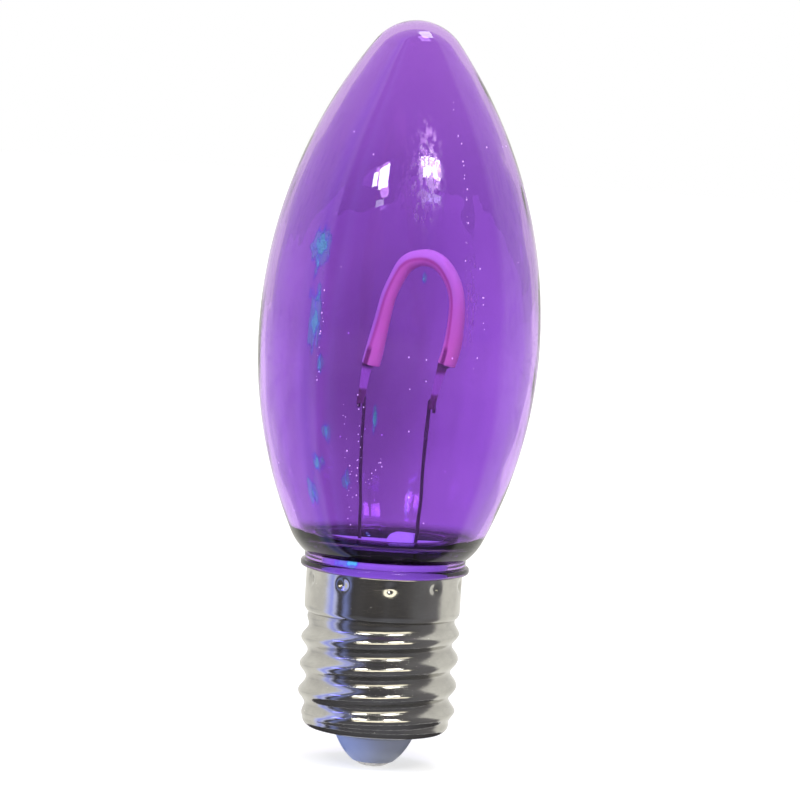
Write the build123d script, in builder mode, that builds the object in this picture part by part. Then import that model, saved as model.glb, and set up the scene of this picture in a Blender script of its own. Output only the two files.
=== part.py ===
from build123d import *
from math import acos, asin, atan2, cos, degrees, radians, sin, sqrt
import os

os.makedirs("parts", exist_ok=True)

# A decorative string-light bulb with an intermediate screw base: a blown plastic globe, a U of flexible
# light-emitting filament on two wires, and a small driver board inside the base.
# Sizes are in millimetres. The origin is the lowest point of the centre contact, +Z runs up the axis to
# the tip of the globe, and -Y faces the viewer.

# General clearances
slip_fit = 0.05
bend_clearance = 0.1

# Screw shell, rolled from thin plated sheet
sheet = 0.28
skirt_radius = 8.17
skirt_length = 4.0
skirt_shoulder_radius = 0.9
thread_pitch = 2.82
thread_length = 11.0
thread_depth = 0.75
crest_proud = 0.13
rings_per_turn = 8
run_out_turns = 0.5
first_crest_rise = 1.3
groove_depth = 0.47
groove_land = 0.12
bottom_corner_radius = 0.95
bottom_corner_turn = 76
bottom_drop = 1.55
lip_radius = 4.2

# Crimp dimples round the skirt
dimple_count = 10
dimple_ball_radius = 0.55
dimple_depth = 0.3
dimple_drop = 1.05
dimple_turn = -85

# Base insulator and centre contact
insulator_height = 3.35
insulator_seat_radius = 2.25
insulator_bulge = 0.3
insulator_flange_inset = 1.02
insulator_flange_height = 1.5
contact_head_radius = 1.9
contact_head_height = 0.6
contact_flat_radius = 0.4
contact_shank_radius = 0.85
contact_bore_radius = 0.35
contact_floor = 1.2
contact_stand_up = 0.7

# Globe
globe_wall = 0.9
widest_radius = 14.69
widest_rise = 24.2
lower_side_radius = 48.5
upper_side_radius = 51.5
tip_radius = 5.45
shoulder_rise = 3.6
neck_wall = 1.85
neck_rise = 1.5
flange_overhang = 0.68
flange_thickness = 0.95
flange_edge_radius = 0.38
skirt_depth = 3.6
skirt_wall = 1.24
inner_shoulder_rise = 4.6
ledge_width = 2.1
ledge_rise = 3.5

# Stem plug that closes the neck
floor_rise = 2.2
floor_thickness = 1.3
collar_wall = 0.75
plug_flange_inset = 0.64
plug_flange_thickness = 0.75

# Spring clips that hold the plug under the globe's ledge
clip_thickness = 0.4
clip_width = 1.6
clip_inset = 0.1
clip_foot_length = 1.3
clip_barb_reach = 1.1
clip_bend_radius = 0.2

# Leads, filament and board lie in one upright plane, turned a little from the viewer
lead_turn = -16

# Support wires
wire_diameter = 0.36
wire_spacing = 6.2
wire_centre = 0.1
wire_splay = 0.55
wire_rise = 15.9
wire_tail = 5.2
hook_width = 0.48
hook_drop = 1.3
hook_bend_radius = 0.22
splay_bend_radius = 3.0
splay_start = 0.8

# Filament
coating_radius = 0.88
filament_foot_across = -2.99
filament_foot_rise = 19.06
filament_lean = 78
filament_leg_length = 6.59
left_arc_radius = 12.3
left_arc_turn = 18.6
top_arc_radius = 2.82
top_arc_turn = 108.7
right_arc_radius = 6.56
right_arc_turn = 39.0
foot_arc_radius = 19.3
foot_arc_turn = 17.5
strip_thickness = 0.2
strip_width = 1.1
chip_count = 18
chip_length = 0.7
chip_width = 0.55
chip_thickness = 0.25
chip_margin = 0.05

# Filament terminals
clamp_depth = 0.8
clamp_foot_width = 1.05
clamp_thickness = 0.25
clamp_leg_length = 2.0
clamp_leg_thickness = 0.22
clamp_leg_cover = 0.15
ribbon_top_width = 0.95
ribbon_foot_width = 0.6
ribbon_thickness = 0.12
ribbon_overlap = 0.9

# Driver board
board_thickness = 1.0
board_length = 13.4
board_edge_fit = 0.15
tongue_width = 2.9
tongue_centre = 1.45
tongue_rise = 1.85
tongue_left_radius = 0.9
tongue_right_radius = 0.35

# Parts on the board
rectifier_width = 4.7
rectifier_height = 3.9
rectifier_thickness = 1.5
rectifier_drop = 4.3
rectifier_leg_width = 0.6
rectifier_leg_spacing = 2.6
driver_chip_width = 4.9
driver_chip_height = 3.9
driver_chip_thickness = 1.5
driver_chip_drop = 3.2
driver_chip_leg_width = 0.4
driver_chip_leg_spacing = 1.27
leg_reach = 1.0
leg_thickness = 0.2
case_edge = 0.2
part_stand_off = 0.1
capacitor_radius = 2.5
capacitor_length = 6.0
capacitor_rise = 1.0
capacitor_edge_radius = 0.3
capacitor_groove_depth = 0.2
capacitor_groove_rise = 1.2
capacitor_lead_spacing = 2.0
capacitor_lead_radius = 0.22
capacitor_lead_drop = 0.5
resistor_radius = 1.1
resistor_length = 4.6
resistor_cap_length = 1.2
resistor_waist = 0.12
resistor_rise = 0.9
resistor_lead_radius = 0.25
resistor_lead_rise = 0.55
resistor_lead_bend = 0.8
small_lead_bend = 0.3
sense_length = 2.0
sense_width = 1.25
sense_thickness = 0.5
sense_cap_length = 0.35
sense_cap_proud = 0.04
sense_inset = 1.65
sense_rise = 3.4
sense_spacing = 3.0

# Lead from the board to the screw shell
shell_lead_radius = 0.23
shell_lead_inset = 0.75
shell_lead_rise = 2.7
shell_lead_length = 3.6
shell_lead_climb = 1.5
shell_lead_gap = 0.35
shell_lead_bend = 0.9

# Solder
bead_radius = 0.55
bead_rise = 0.45
bead_taper = 0.6
small_bead_radius = 0.45
contact_bead_radius = 0.62

# Heights and fits that follow from the sizes above
crest_radius = skirt_radius + crest_proud
root_radius = crest_radius - thread_depth
groove_radius = skirt_radius - groove_depth
lip_height = insulator_height
thread_foot = lip_height + bottom_drop
thread_top = thread_foot + thread_length
shoulder_turn = degrees(acos(1 - (skirt_radius - groove_radius) / skirt_shoulder_radius))
skirt_shoulder = thread_top + groove_land + skirt_shoulder_radius * sin(radians(shoulder_turn))
rim_height = skirt_shoulder + skirt_length
widest_height = rim_height + widest_rise
floor_height = rim_height + floor_rise
ledge_height = rim_height + ledge_rise
skirt_foot = rim_height - skirt_depth
globe_skirt_radius = skirt_radius - sheet - slip_fit
neck_bore_radius = globe_skirt_radius - skirt_wall
neck_radius = neck_bore_radius + neck_wall
flange_radius = skirt_radius + flange_overhang
ledge_radius = neck_bore_radius + ledge_width
plug_radius = neck_bore_radius - slip_fit
collar_bore = plug_radius - collar_wall
floor_underside = floor_height - floor_thickness
board_top = floor_underside - clip_thickness - slip_fit
board_foot = board_top - board_length
wire_radius = wire_diameter / 2
front_depth = -wire_radius - slip_fit
back_depth = front_depth - board_thickness

# The plane of the leads: across, up, and out towards the viewer
lead_plane = Plane(
    origin=(0, 0, 0),
    x_dir=(cos(radians(lead_turn)), sin(radians(lead_turn)), 0),
    z_dir=(sin(radians(lead_turn)), -cos(radians(lead_turn)), 0),
)
board_front = lead_plane.offset(front_depth)
board_back = lead_plane.offset(back_depth)


# Screw shell

def shell_form(inset):
    """The rolled shell as a solid form, with its surface moved in by inset."""
    turns = thread_length / thread_pitch
    ring_count = round(turns * rings_per_turn)
    offset_full = (crest_radius - root_radius) / 2
    radius_full = (crest_radius + root_radius) / 2
    lip = (lip_radius, lip_height + inset)
    neck_turn = degrees(
        acos((groove_radius - skirt_radius + skirt_shoulder_radius - inset) / (skirt_shoulder_radius - inset))
    )
    with BuildPart() as form:
        # Bottom, rolled in to the lip
        with BuildSketch(Plane.XZ):
            with BuildLine():
                corner = CenterArc(
                    (groove_radius - bottom_corner_radius, thread_foot),
                    bottom_corner_radius - inset,
                    0,
                    -bottom_corner_turn,
                )
                Polyline(corner @ 1, lip, (0, lip_height + inset), (0, thread_foot), corner @ 0)
            make_face()
        revolve(axis=Axis.Z)
        # Knuckle thread: every level is a circle whose centre walks round the axis
        for ring in range(ring_count + 1):
            rise = thread_length * ring / ring_count
            run_in = min(1, rise / thread_pitch / run_out_turns)
            run_out = min(1, (thread_length - rise) / thread_pitch / run_out_turns)
            share = min(run_in, run_out)
            turn = radians(360 * (rise - first_crest_rise) / thread_pitch)
            centre = (share * offset_full * cos(turn), share * offset_full * sin(turn))
            radius = groove_radius + share * (radius_full - groove_radius)
            with BuildSketch(Plane.XY.offset(thread_foot + rise)):
                with Locations(centre):
                    Circle(radius - inset)
        loft()
        # Plain skirt above the groove
        with BuildSketch(Plane.XZ):
            with BuildLine():
                shoulder = CenterArc(
                    (skirt_radius - skirt_shoulder_radius, skirt_shoulder),
                    skirt_shoulder_radius - inset,
                    0,
                    -neck_turn,
                )
                Polyline(
                    shoulder @ 1,
                    (groove_radius - inset, thread_top),
                    (0, thread_top),
                    (0, rim_height + inset),
                    (skirt_radius - inset, rim_height + inset),
                    shoulder @ 0,
                )
            make_face()
        revolve(axis=Axis.Z)
    return form.part


dimple_level = Plane.XY.offset(rim_height - dimple_drop)
dimple_ring = skirt_radius - dimple_depth + dimple_ball_radius

with BuildPart() as shell_inside:
    add(shell_form(sheet))
    with Locations(dimple_level):
        with PolarLocations(dimple_ring, dimple_count, start_angle=dimple_turn):
            Sphere(dimple_ball_radius + sheet, mode=Mode.SUBTRACT)

with BuildPart() as screw_shell:
    add(shell_form(0))
    add(shell_inside.part, mode=Mode.SUBTRACT)
    with Locations((0, 0, lip_height)):
        Cylinder(lip_radius, sheet + bottom_drop, mode=Mode.SUBTRACT)
    with Locations(dimple_level):
        with PolarLocations(dimple_ring, dimple_count, start_angle=dimple_turn):
            Sphere(dimple_ball_radius, mode=Mode.SUBTRACT)
screw_shell.part.label = "screw_shell"
export_step(screw_shell.part, "parts/screw_shell.step")


# Base insulator: a moulded cone whose flange lies on the rolled-in bottom of the shell

bottom_centre = groove_radius - bottom_corner_radius
inner_corner = bottom_corner_radius - sheet
corner_end = (
    bottom_centre + inner_corner * cos(radians(bottom_corner_turn)),
    thread_foot - inner_corner * sin(radians(bottom_corner_turn)),
)
bottom_slope = (corner_end[1] - lip_height - sheet) / (corner_end[0] - lip_radius)
flange_seat = lip_height + sheet + slip_fit
flange_top = flange_seat + insulator_flange_height
insulator_neck_radius = lip_radius - slip_fit
insulator_flange_radius = groove_radius - sheet - insulator_flange_inset
cone_middle = (
    (insulator_seat_radius + insulator_neck_radius) / 2 + insulator_bulge,
    (contact_head_height + lip_height) / 2 - insulator_bulge,
)

with BuildPart() as base_insulator:
    with BuildSketch(Plane.XZ):
        with BuildLine():
            shank_hole = contact_shank_radius + slip_fit
            ThreePointArc(
                (insulator_seat_radius, contact_head_height),
                cone_middle,
                (insulator_neck_radius, lip_height),
            )
            Polyline(
                (insulator_neck_radius, lip_height),
                (insulator_neck_radius, flange_seat),
                (
                    insulator_flange_radius,
                    flange_seat + bottom_slope * (insulator_flange_radius - insulator_neck_radius),
                ),
                (insulator_flange_radius, flange_top),
                (shank_hole, flange_top),
                (shank_hole, contact_head_height),
                (insulator_seat_radius, contact_head_height),
            )
        make_face()
    revolve(axis=Axis.Z)
base_insulator.part.label = "base_insulator"
export_step(base_insulator.part, "parts/base_insulator.step")


# Centre contact: a domed rivet, its hollow shank peened over the insulator

shank_top = flange_top + contact_stand_up

with BuildPart() as centre_contact:
    with BuildSketch(Plane.XZ):
        with BuildLine():
            dome_middle = (contact_head_radius * 0.7, contact_head_height * 0.3)
            Line((0, 0), (contact_flat_radius, 0))
            ThreePointArc((contact_flat_radius, 0), dome_middle, (contact_head_radius, contact_head_height))
            Polyline(
                (contact_head_radius, contact_head_height),
                (contact_shank_radius, contact_head_height),
                (contact_shank_radius, flange_top),
                (contact_shank_radius + contact_stand_up / 2, flange_top),
                (contact_shank_radius, shank_top),
                (contact_bore_radius, shank_top),
                (contact_bore_radius, contact_floor),
                (0, contact_floor),
                (0, 0),
            )
        make_face()
    revolve(axis=Axis.Z)
centre_contact.part.label = "centre_contact"
export_step(centre_contact.part, "parts/centre_contact.step")


# Globe: one blown shell with a thick shoulder, a neck, a flange on the metal rim and a skirt inside it

tip_centre_rise = sqrt((upper_side_radius - tip_radius) ** 2 - (upper_side_radius - widest_radius) ** 2)
tip_centre = (0, widest_height + tip_centre_rise)
tip_turn = degrees(atan2(tip_centre_rise, upper_side_radius - widest_radius))
upper_centre = (widest_radius - upper_side_radius, widest_height)
lower_centre = (widest_radius - lower_side_radius, widest_height)
outer_foot_turn = degrees(asin((widest_rise - shoulder_rise) / lower_side_radius))
inner_foot_turn = degrees(asin((widest_rise - inner_shoulder_rise) / (lower_side_radius - globe_wall)))
crimp_radius = globe_skirt_radius - dimple_depth - bend_clearance
crimp_half = dimple_ball_radius + sheet + bend_clearance
crimp_height = rim_height - dimple_drop
edge = flange_edge_radius

with BuildPart() as globe:
    with BuildSketch(Plane.XZ):
        with BuildLine():
            # Outside, from the neck to the tip
            side = CenterArc(lower_centre, lower_side_radius, -outer_foot_turn, outer_foot_turn)
            TangentArc(side @ 0, (neck_radius, rim_height + neck_rise), tangent=(side % 0) * -1)
            CenterArc(upper_centre, upper_side_radius, 0, tip_turn)
            CenterArc(tip_centre, tip_radius, tip_turn, 90 - tip_turn)
            # Inside, from the tip to the ledge
            top = tip_centre[1] + tip_radius
            Line((0, top), (0, top - globe_wall))
            CenterArc(tip_centre, tip_radius - globe_wall, tip_turn, 90 - tip_turn)
            CenterArc(upper_centre, upper_side_radius - globe_wall, 0, tip_turn)
            inner_side = CenterArc(
                lower_centre, lower_side_radius - globe_wall, -inner_foot_turn, inner_foot_turn
            )
            TangentArc(inner_side @ 0, (ledge_radius, ledge_height), tangent=(inner_side % 0) * -1)
            # Neck bore, skirt with its crimp groove, and flange
            Polyline(
                (ledge_radius, ledge_height),
                (neck_bore_radius, ledge_height),
                (neck_bore_radius, skirt_foot),
                (globe_skirt_radius, skirt_foot),
                (globe_skirt_radius, crimp_height - crimp_half),
                (crimp_radius, crimp_height - crimp_half),
                (crimp_radius, crimp_height + crimp_half),
                (globe_skirt_radius, crimp_height + crimp_half),
                (globe_skirt_radius, rim_height),
                (flange_radius - edge, rim_height),
            )
            CenterArc((flange_radius - edge, rim_height + edge), edge, -90, 90)
            Line(
                (flange_radius, rim_height + edge),
                (flange_radius, rim_height + flange_thickness - edge),
            )
            CenterArc((flange_radius - edge, rim_height + flange_thickness - edge), edge, 0, 90)
            Polyline(
                (flange_radius - edge, rim_height + flange_thickness),
                (neck_radius, rim_height + flange_thickness),
                (neck_radius, rim_height + neck_rise),
            )
        make_face()
    revolve(axis=Axis.Z)
globe.part.label = "globe"
export_step(globe.part, "parts/globe.step")


# Stem plug: a floor with a collar in the neck and a flange under the globe's skirt

plug_flange_radius = globe_skirt_radius - plug_flange_inset
clip_face = sqrt(plug_radius**2 - (clip_width / 2) ** 2) - clip_inset
clip_notch_width = clip_width + 2 * slip_fit
clip_notch_foot = floor_underside - clip_thickness - slip_fit
wire_places = (wire_centre - wire_spacing / 2, wire_centre + wire_spacing / 2)

with BuildPart() as stem_plug:
    with BuildSketch(Plane.XZ):
        with BuildLine():
            Polyline(
                (0, floor_height),
                (plug_radius, floor_height),
                (plug_radius, skirt_foot - slip_fit),
                (plug_flange_radius, skirt_foot - slip_fit),
                (plug_flange_radius, skirt_foot - slip_fit - plug_flange_thickness),
                (collar_bore, skirt_foot - slip_fit - plug_flange_thickness),
                (collar_bore, floor_underside),
                (0, floor_underside),
                (0, floor_height),
            )
        make_face()
    revolve(axis=Axis.Z)
    # Notches for the clips
    for side_sign in (-1, 1):
        with Locations((side_sign * (clip_face - clip_thickness - bend_clearance), 0, floor_height)):
            Box(
                2 * plug_radius,
                clip_notch_width,
                floor_height - clip_notch_foot,
                align=(Align.MIN if side_sign > 0 else Align.MAX, Align.CENTER, Align.MAX),
                mode=Mode.SUBTRACT,
            )
        with Locations((side_sign * (collar_bore - clip_foot_length), 0, floor_underside)):
            Box(
                2 * plug_radius,
                clip_notch_width,
                floor_underside - clip_notch_foot,
                align=(Align.MIN if side_sign > 0 else Align.MAX, Align.CENTER, Align.MAX),
                mode=Mode.SUBTRACT,
            )
    # Slot for the tongue of the board and holes for the support wires
    with BuildSketch(board_front.offset(slip_fit)):
        with Locations((tongue_centre, floor_height)):
            Rectangle(tongue_width + 2 * slip_fit, 3 * floor_thickness)
    extrude(amount=-board_thickness - 2 * slip_fit, mode=Mode.SUBTRACT)
    for across in wire_places:
        with BuildSketch(Plane(origin=lead_plane.from_local_coords((across, floor_height, 0)))):
            Circle(wire_radius + slip_fit)
        extrude(amount=-2 * floor_thickness, mode=Mode.SUBTRACT)
stem_plug.part.label = "stem_plug"
export_step(stem_plug.part, "parts/stem_plug.step")


# Retaining clips: bent strip, foot under the floor and barb over the globe's ledge

def retaining_clip(side_sign):
    """One clip, on the -X or the +X side."""
    foot_level = floor_underside - clip_thickness
    with BuildPart() as clip:
        with BuildSketch(Plane.XZ):
            with BuildLine():
                FilletPolyline(
                    (clip_face - clip_foot_length, foot_level),
                    (clip_face, foot_level),
                    (clip_face, ledge_height + slip_fit),
                    (clip_face + clip_barb_reach, ledge_height + slip_fit),
                    radius=[clip_thickness + clip_bend_radius / 2, clip_bend_radius],
                )
                offset(amount=clip_thickness, side=Side.LEFT)
            make_face()
        extrude(amount=clip_width / 2, both=True)
        if side_sign < 0:
            mirror(about=Plane.YZ, mode=Mode.REPLACE)
    return clip.part


for clip_name, clip_sign in (("retaining_clip_left", -1), ("retaining_clip_right", 1)):
    clip_part = retaining_clip(clip_sign)
    clip_part.label = clip_name
    export_step(clip_part, f"parts/{clip_name}.step")


# Support wires: upright through the floor, splayed a little, and hooked over at the top

def support_wire(side_sign):
    """One wire, on the left (-1) or the right (+1) of the lead plane."""
    across = wire_centre + side_sign * wire_spacing / 2
    hook_across = across + side_sign * wire_splay
    hook_top = floor_height + wire_rise
    with BuildPart() as wire:
        with BuildLine(lead_plane) as route:
            FilletPolyline(
                (across, floor_height - wire_tail),
                (across, floor_height + splay_start),
                (hook_across, hook_top),
                (hook_across + side_sign * hook_width, hook_top),
                (hook_across + side_sign * hook_width, hook_top - hook_drop),
                radius=[splay_bend_radius, hook_bend_radius, hook_bend_radius],
            )
        with BuildSketch(Plane(origin=route.line @ 0, z_dir=route.line % 0)):
            Circle(wire_radius)
        sweep()
    return wire.part


support_wires = {}
for wire_name, wire_sign in (("support_wire_left", -1), ("support_wire_right", 1)):
    support_wires[wire_sign] = support_wire(wire_sign)
    support_wires[wire_sign].label = wire_name
    export_step(support_wires[wire_sign], f"parts/{wire_name}.step")


# Filament: a strip bent to a U, with a row of light-emitting chips

with BuildLine(lead_plane) as filament_route:
    filament_foot = (filament_foot_across, floor_height + filament_foot_rise)
    run = PolarLine(filament_foot, filament_leg_length, filament_lean)
    run = JernArc(run @ 1, run % 1, left_arc_radius, -left_arc_turn)
    run = JernArc(run @ 1, run % 1, top_arc_radius, -top_arc_turn)
    run = JernArc(run @ 1, run % 1, right_arc_radius, -right_arc_turn)
    run = JernArc(run @ 1, run % 1, foot_arc_radius, -foot_arc_turn)
filament_wire = filament_route.wire()


def filament_section(share):
    """The plane across the filament: local x towards the viewer, local y into the U."""
    return Plane(origin=filament_wire @ share, x_dir=lead_plane.z_dir, z_dir=filament_wire % share)


with BuildPart() as filament_strip:
    with BuildSketch(filament_section(0)):
        Rectangle(strip_width, strip_thickness)
    sweep(path=filament_wire)
filament_strip.part.label = "filament_strip"
export_step(filament_strip.part, "parts/filament_strip.step")

with BuildPart() as led_chips:
    for chip in range(chip_count):
        share = chip_margin + (1 - 2 * chip_margin) * chip / (chip_count - 1)
        with BuildSketch(filament_section(share).offset(-chip_length / 2)):
            with Locations((0, -(strip_thickness + chip_thickness) / 2)):
                Rectangle(chip_width, chip_thickness)
        extrude(amount=chip_length)
    add(filament_strip.part, mode=Mode.SUBTRACT)
led_chips.part.label = "led_chips"
export_step(led_chips.part, "parts/led_chips.step")

# Filament terminals: an L at each end of the filament, and a ribbon from it to the hook

def filament_terminal(side_sign):
    """One terminal, at the left (-1) or the right (+1) end of the filament."""
    share = 0 if side_sign < 0 else 1
    outward = (filament_wire % share) * side_sign
    end_plane = Plane(origin=filament_wire @ share, x_dir=lead_plane.z_dir, z_dir=outward)
    leg_face = coating_radius - clamp_leg_cover
    ribbon_start = end_plane.offset(clamp_thickness / 2).origin
    ribbon_left = lead_plane.to_local_coords(ribbon_start + end_plane.y_dir * leg_face)
    ribbon_right = lead_plane.to_local_coords(ribbon_start + end_plane.y_dir * (leg_face - ribbon_top_width))
    hook_across = wire_centre + side_sign * (wire_spacing / 2 + wire_splay + hook_width / 2)
    hook_top = floor_height + wire_rise
    with BuildPart() as terminal:
        # Foot across the end, and leg up the viewer's left, inside the coating
        with BuildSketch(end_plane):
            with Locations((0, leg_face - clamp_foot_width / 2)):
                Rectangle(clamp_depth, clamp_foot_width)
        extrude(amount=clamp_thickness)
        with BuildSketch(end_plane.offset(clamp_thickness)):
            with Locations((0, leg_face - clamp_leg_thickness / 2)):
                Rectangle(clamp_depth, clamp_leg_thickness)
        extrude(amount=-clamp_leg_length)
        # Ribbon down to the front of the hook
        with BuildSketch(lead_plane.offset(wire_radius)):
            with BuildLine():
                Polyline(
                    (ribbon_left.X, ribbon_left.Y),
                    (ribbon_right.X, ribbon_right.Y),
                    (hook_across + ribbon_foot_width / 2, hook_top - ribbon_overlap),
                    (hook_across - ribbon_foot_width / 2, hook_top - ribbon_overlap),
                    close=True,
                )
            make_face()
        extrude(amount=ribbon_thickness)
    return terminal.part


filament_terminals = []
for terminal_name, terminal_sign in (("filament_terminal_left", -1), ("filament_terminal_right", 1)):
    terminal_part = filament_terminal(terminal_sign)
    terminal_part.label = terminal_name
    export_step(terminal_part, f"parts/{terminal_name}.step")
    filament_terminals.append(terminal_part)

# Coating, moulded round the strip, the chips and the terminals' legs
with BuildPart() as filament_coating:
    with BuildSketch(filament_section(0)):
        Circle(coating_radius)
    sweep(path=filament_wire)
    add(filament_strip.part, mode=Mode.SUBTRACT)
    add(led_chips.part, mode=Mode.SUBTRACT)
    add(filament_terminals, mode=Mode.SUBTRACT)
filament_coating.part.label = "filament_coating"
export_step(filament_coating.part, "parts/filament_coating.step")


# Driver board: a plain upright board whose tongue stands up through the floor

board_half = sqrt(collar_bore**2 - back_depth**2) - board_edge_fit
tongue_left = tongue_centre - tongue_width / 2
tongue_right = tongue_centre + tongue_width / 2
tongue_top = floor_height + tongue_rise

with BuildPart() as driver_board:
    with BuildSketch(board_front):
        with BuildLine():
            Polyline(
                (tongue_left, tongue_top - tongue_left_radius),
                (tongue_left, board_top),
                (-board_half, board_top),
                (-board_half, board_foot),
                (board_half, board_foot),
                (board_half, board_top),
                (tongue_right, board_top),
                (tongue_right, tongue_top - tongue_right_radius),
            )
            CenterArc(
                (tongue_right - tongue_right_radius, tongue_top - tongue_right_radius),
                tongue_right_radius,
                0,
                90,
            )
            Line(
                (tongue_right - tongue_right_radius, tongue_top),
                (tongue_left + tongue_left_radius, tongue_top),
            )
            CenterArc(
                (tongue_left + tongue_left_radius, tongue_top - tongue_left_radius),
                tongue_left_radius,
                90,
                90,
            )
        make_face()
    extrude(amount=-board_thickness)
driver_board.part.label = "driver_board"
export_step(driver_board.part, "parts/driver_board.step")


# Packages on the board

def face_distance(plane):
    """A sort key: how far a face's middle lies from a plane."""
    return lambda item: abs(plane.to_local_coords(item.center()).Z)


def board_package(face, out, middle, size, thickness, leg_places, leg_width):
    """A moulded case with flat legs above and below it, on the front (out 1) or the back (out -1)."""
    with BuildPart() as package:
        with BuildSketch(face):
            with Locations(middle):
                Rectangle(*size)
        extrude(amount=out * thickness)
        outer_face = package.faces().sort_by(face_distance(face))[-1]
        chamfer(outer_face.edges(), case_edge)
        with BuildSketch(face):
            with Locations([(middle[0] + place, middle[1]) for place in leg_places]):
                Rectangle(leg_width, size[1] + 2 * leg_reach)
        extrude(amount=out * leg_thickness)
    return package.part


rectifier_legs = (-rectifier_leg_spacing / 2, rectifier_leg_spacing / 2)
bridge_rectifier = board_package(
    board_front,
    1,
    (0, board_top - rectifier_drop),
    (rectifier_width, rectifier_height),
    rectifier_thickness,
    rectifier_legs,
    rectifier_leg_width,
)
bridge_rectifier.label = "bridge_rectifier"
export_step(bridge_rectifier, "parts/bridge_rectifier.step")

driver_chip_legs = [driver_chip_leg_spacing * (leg - 1.5) for leg in range(4)]
driver_chip = board_package(
    board_back,
    -1,
    (0, board_top - driver_chip_drop),
    (driver_chip_width, driver_chip_height),
    driver_chip_thickness,
    driver_chip_legs,
    driver_chip_leg_width,
)
driver_chip.label = "driver_chip"
export_step(driver_chip, "parts/driver_chip.step")

with BuildPart() as sense_resistors:
    for place in range(2):
        middle = (board_half - sense_inset, board_foot + sense_rise + place * sense_spacing)
        with BuildSketch(board_front):
            with Locations(middle):
                Rectangle(sense_width, sense_length)
        extrude(amount=sense_thickness)
        with BuildSketch(board_front):
            with Locations(middle):
                with GridLocations(0, sense_length - sense_cap_length, 1, 2):
                    Rectangle(sense_width + 2 * sense_cap_proud, sense_cap_length)
        extrude(amount=sense_thickness + sense_cap_proud)
sense_resistors.part.label = "sense_resistors"
export_step(sense_resistors.part, "parts/sense_resistors.step")


# Wired parts: routes in the upright plane that crosses the board, x towards the viewer and y up

def cross_plane(across):
    """The plane across the board at one place: local x towards the viewer, local y up."""
    origin = lead_plane.from_local_coords((across, 0, 0))
    return Plane(origin=origin, x_dir=lead_plane.z_dir, z_dir=lead_plane.x_dir * -1)


def round_lead(plane, points, bend, radius):
    """A round wire along straight runs with rounded corners, drawn on a plane."""
    with BuildPart() as lead:
        with BuildLine(plane) as route:
            FilletPolyline(*points, radius=bend)
        with BuildSketch(Plane(origin=route.line @ 0, z_dir=route.line % 0)):
            Circle(radius)
        sweep()
    return lead.part


# Smoothing capacitor: a can on the back, rolled in near its sealed end, two leads bent to the board
capacitor_depth = back_depth - part_stand_off - capacitor_radius
capacitor_foot = board_foot + capacitor_rise
capacitor_lead_height = capacitor_foot - capacitor_lead_drop
capacitor_axis_plane = Plane(
    origin=lead_plane.from_local_coords((0, capacitor_foot, capacitor_depth)),
    x_dir=lead_plane.x_dir,
    z_dir=lead_plane.z_dir,
)
groove_half = capacitor_groove_depth

capacitor_leads = [
    round_lead(
        cross_plane(across),
        [
            (capacitor_depth, capacitor_foot),
            (capacitor_depth, capacitor_lead_height),
            (back_depth, capacitor_lead_height),
        ],
        small_lead_bend,
        capacitor_lead_radius,
    )
    for across in (-capacitor_lead_spacing / 2, capacitor_lead_spacing / 2)
]

with BuildPart() as smoothing_capacitor:
    with BuildSketch(capacitor_axis_plane):
        with BuildLine():
            Polyline(
                (0, 0),
                (capacitor_radius, 0),
                (capacitor_radius, capacitor_groove_rise - groove_half),
                (capacitor_radius - capacitor_groove_depth, capacitor_groove_rise),
                (capacitor_radius, capacitor_groove_rise + groove_half),
                (capacitor_radius, capacitor_length - capacitor_edge_radius),
            )
            CenterArc(
                (capacitor_radius - capacitor_edge_radius, capacitor_length - capacitor_edge_radius),
                capacitor_edge_radius,
                0,
                90,
            )
            Polyline(
                (capacitor_radius - capacitor_edge_radius, capacitor_length),
                (0, capacitor_length),
                (0, 0),
            )
        make_face()
    revolve(axis=Axis(capacitor_axis_plane.origin, (0, 0, 1)))
    add(capacitor_leads)
smoothing_capacitor.part.label = "smoothing_capacitor"
export_step(smoothing_capacitor.part, "parts/smoothing_capacitor.step")

# Fuse resistor: an axial body on the front, its lower lead down the centre contact's bore
resistor_depth = front_depth + part_stand_off + resistor_radius
resistor_foot = board_foot + resistor_rise
resistor_top = resistor_foot + resistor_length
upper_lead_height = resistor_top + resistor_lead_rise
knee_height = board_foot
entry_height = shank_top + resistor_lead_bend

upper_lead = round_lead(
    cross_plane(0),
    [
        (resistor_depth, resistor_top),
        (resistor_depth, upper_lead_height),
        (front_depth, upper_lead_height),
    ],
    small_lead_bend,
    resistor_lead_radius,
)
lower_lead = round_lead(
    cross_plane(0),
    [
        (resistor_depth, resistor_foot),
        (resistor_depth, knee_height),
        (0, entry_height),
        (0, contact_floor + part_stand_off),
    ],
    resistor_lead_bend,
    resistor_lead_radius,
)

with BuildPart() as fuse_resistor:
    with BuildSketch(
        Plane(
            origin=lead_plane.from_local_coords((0, resistor_foot, resistor_depth)),
            x_dir=lead_plane.x_dir,
            z_dir=lead_plane.z_dir,
        )
    ):
        with BuildLine():
            Polyline(
                (0, 0),
                (resistor_radius - resistor_waist, 0),
                (resistor_radius, resistor_waist),
                (resistor_radius, resistor_cap_length),
                (resistor_radius - resistor_waist, resistor_cap_length + resistor_waist),
                (resistor_radius - resistor_waist, resistor_length - resistor_cap_length - resistor_waist),
                (resistor_radius, resistor_length - resistor_cap_length),
                (resistor_radius, resistor_length - resistor_waist),
                (resistor_radius - resistor_waist, resistor_length),
                (0, resistor_length),
                (0, 0),
            )
        make_face()
    revolve(axis=Axis(lead_plane.from_local_coords((0, resistor_foot, resistor_depth)), (0, 0, 1)))
    add(upper_lead)
    add(lower_lead)
fuse_resistor.part.label = "fuse_resistor"
export_step(fuse_resistor.part, "parts/fuse_resistor.step")

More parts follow.
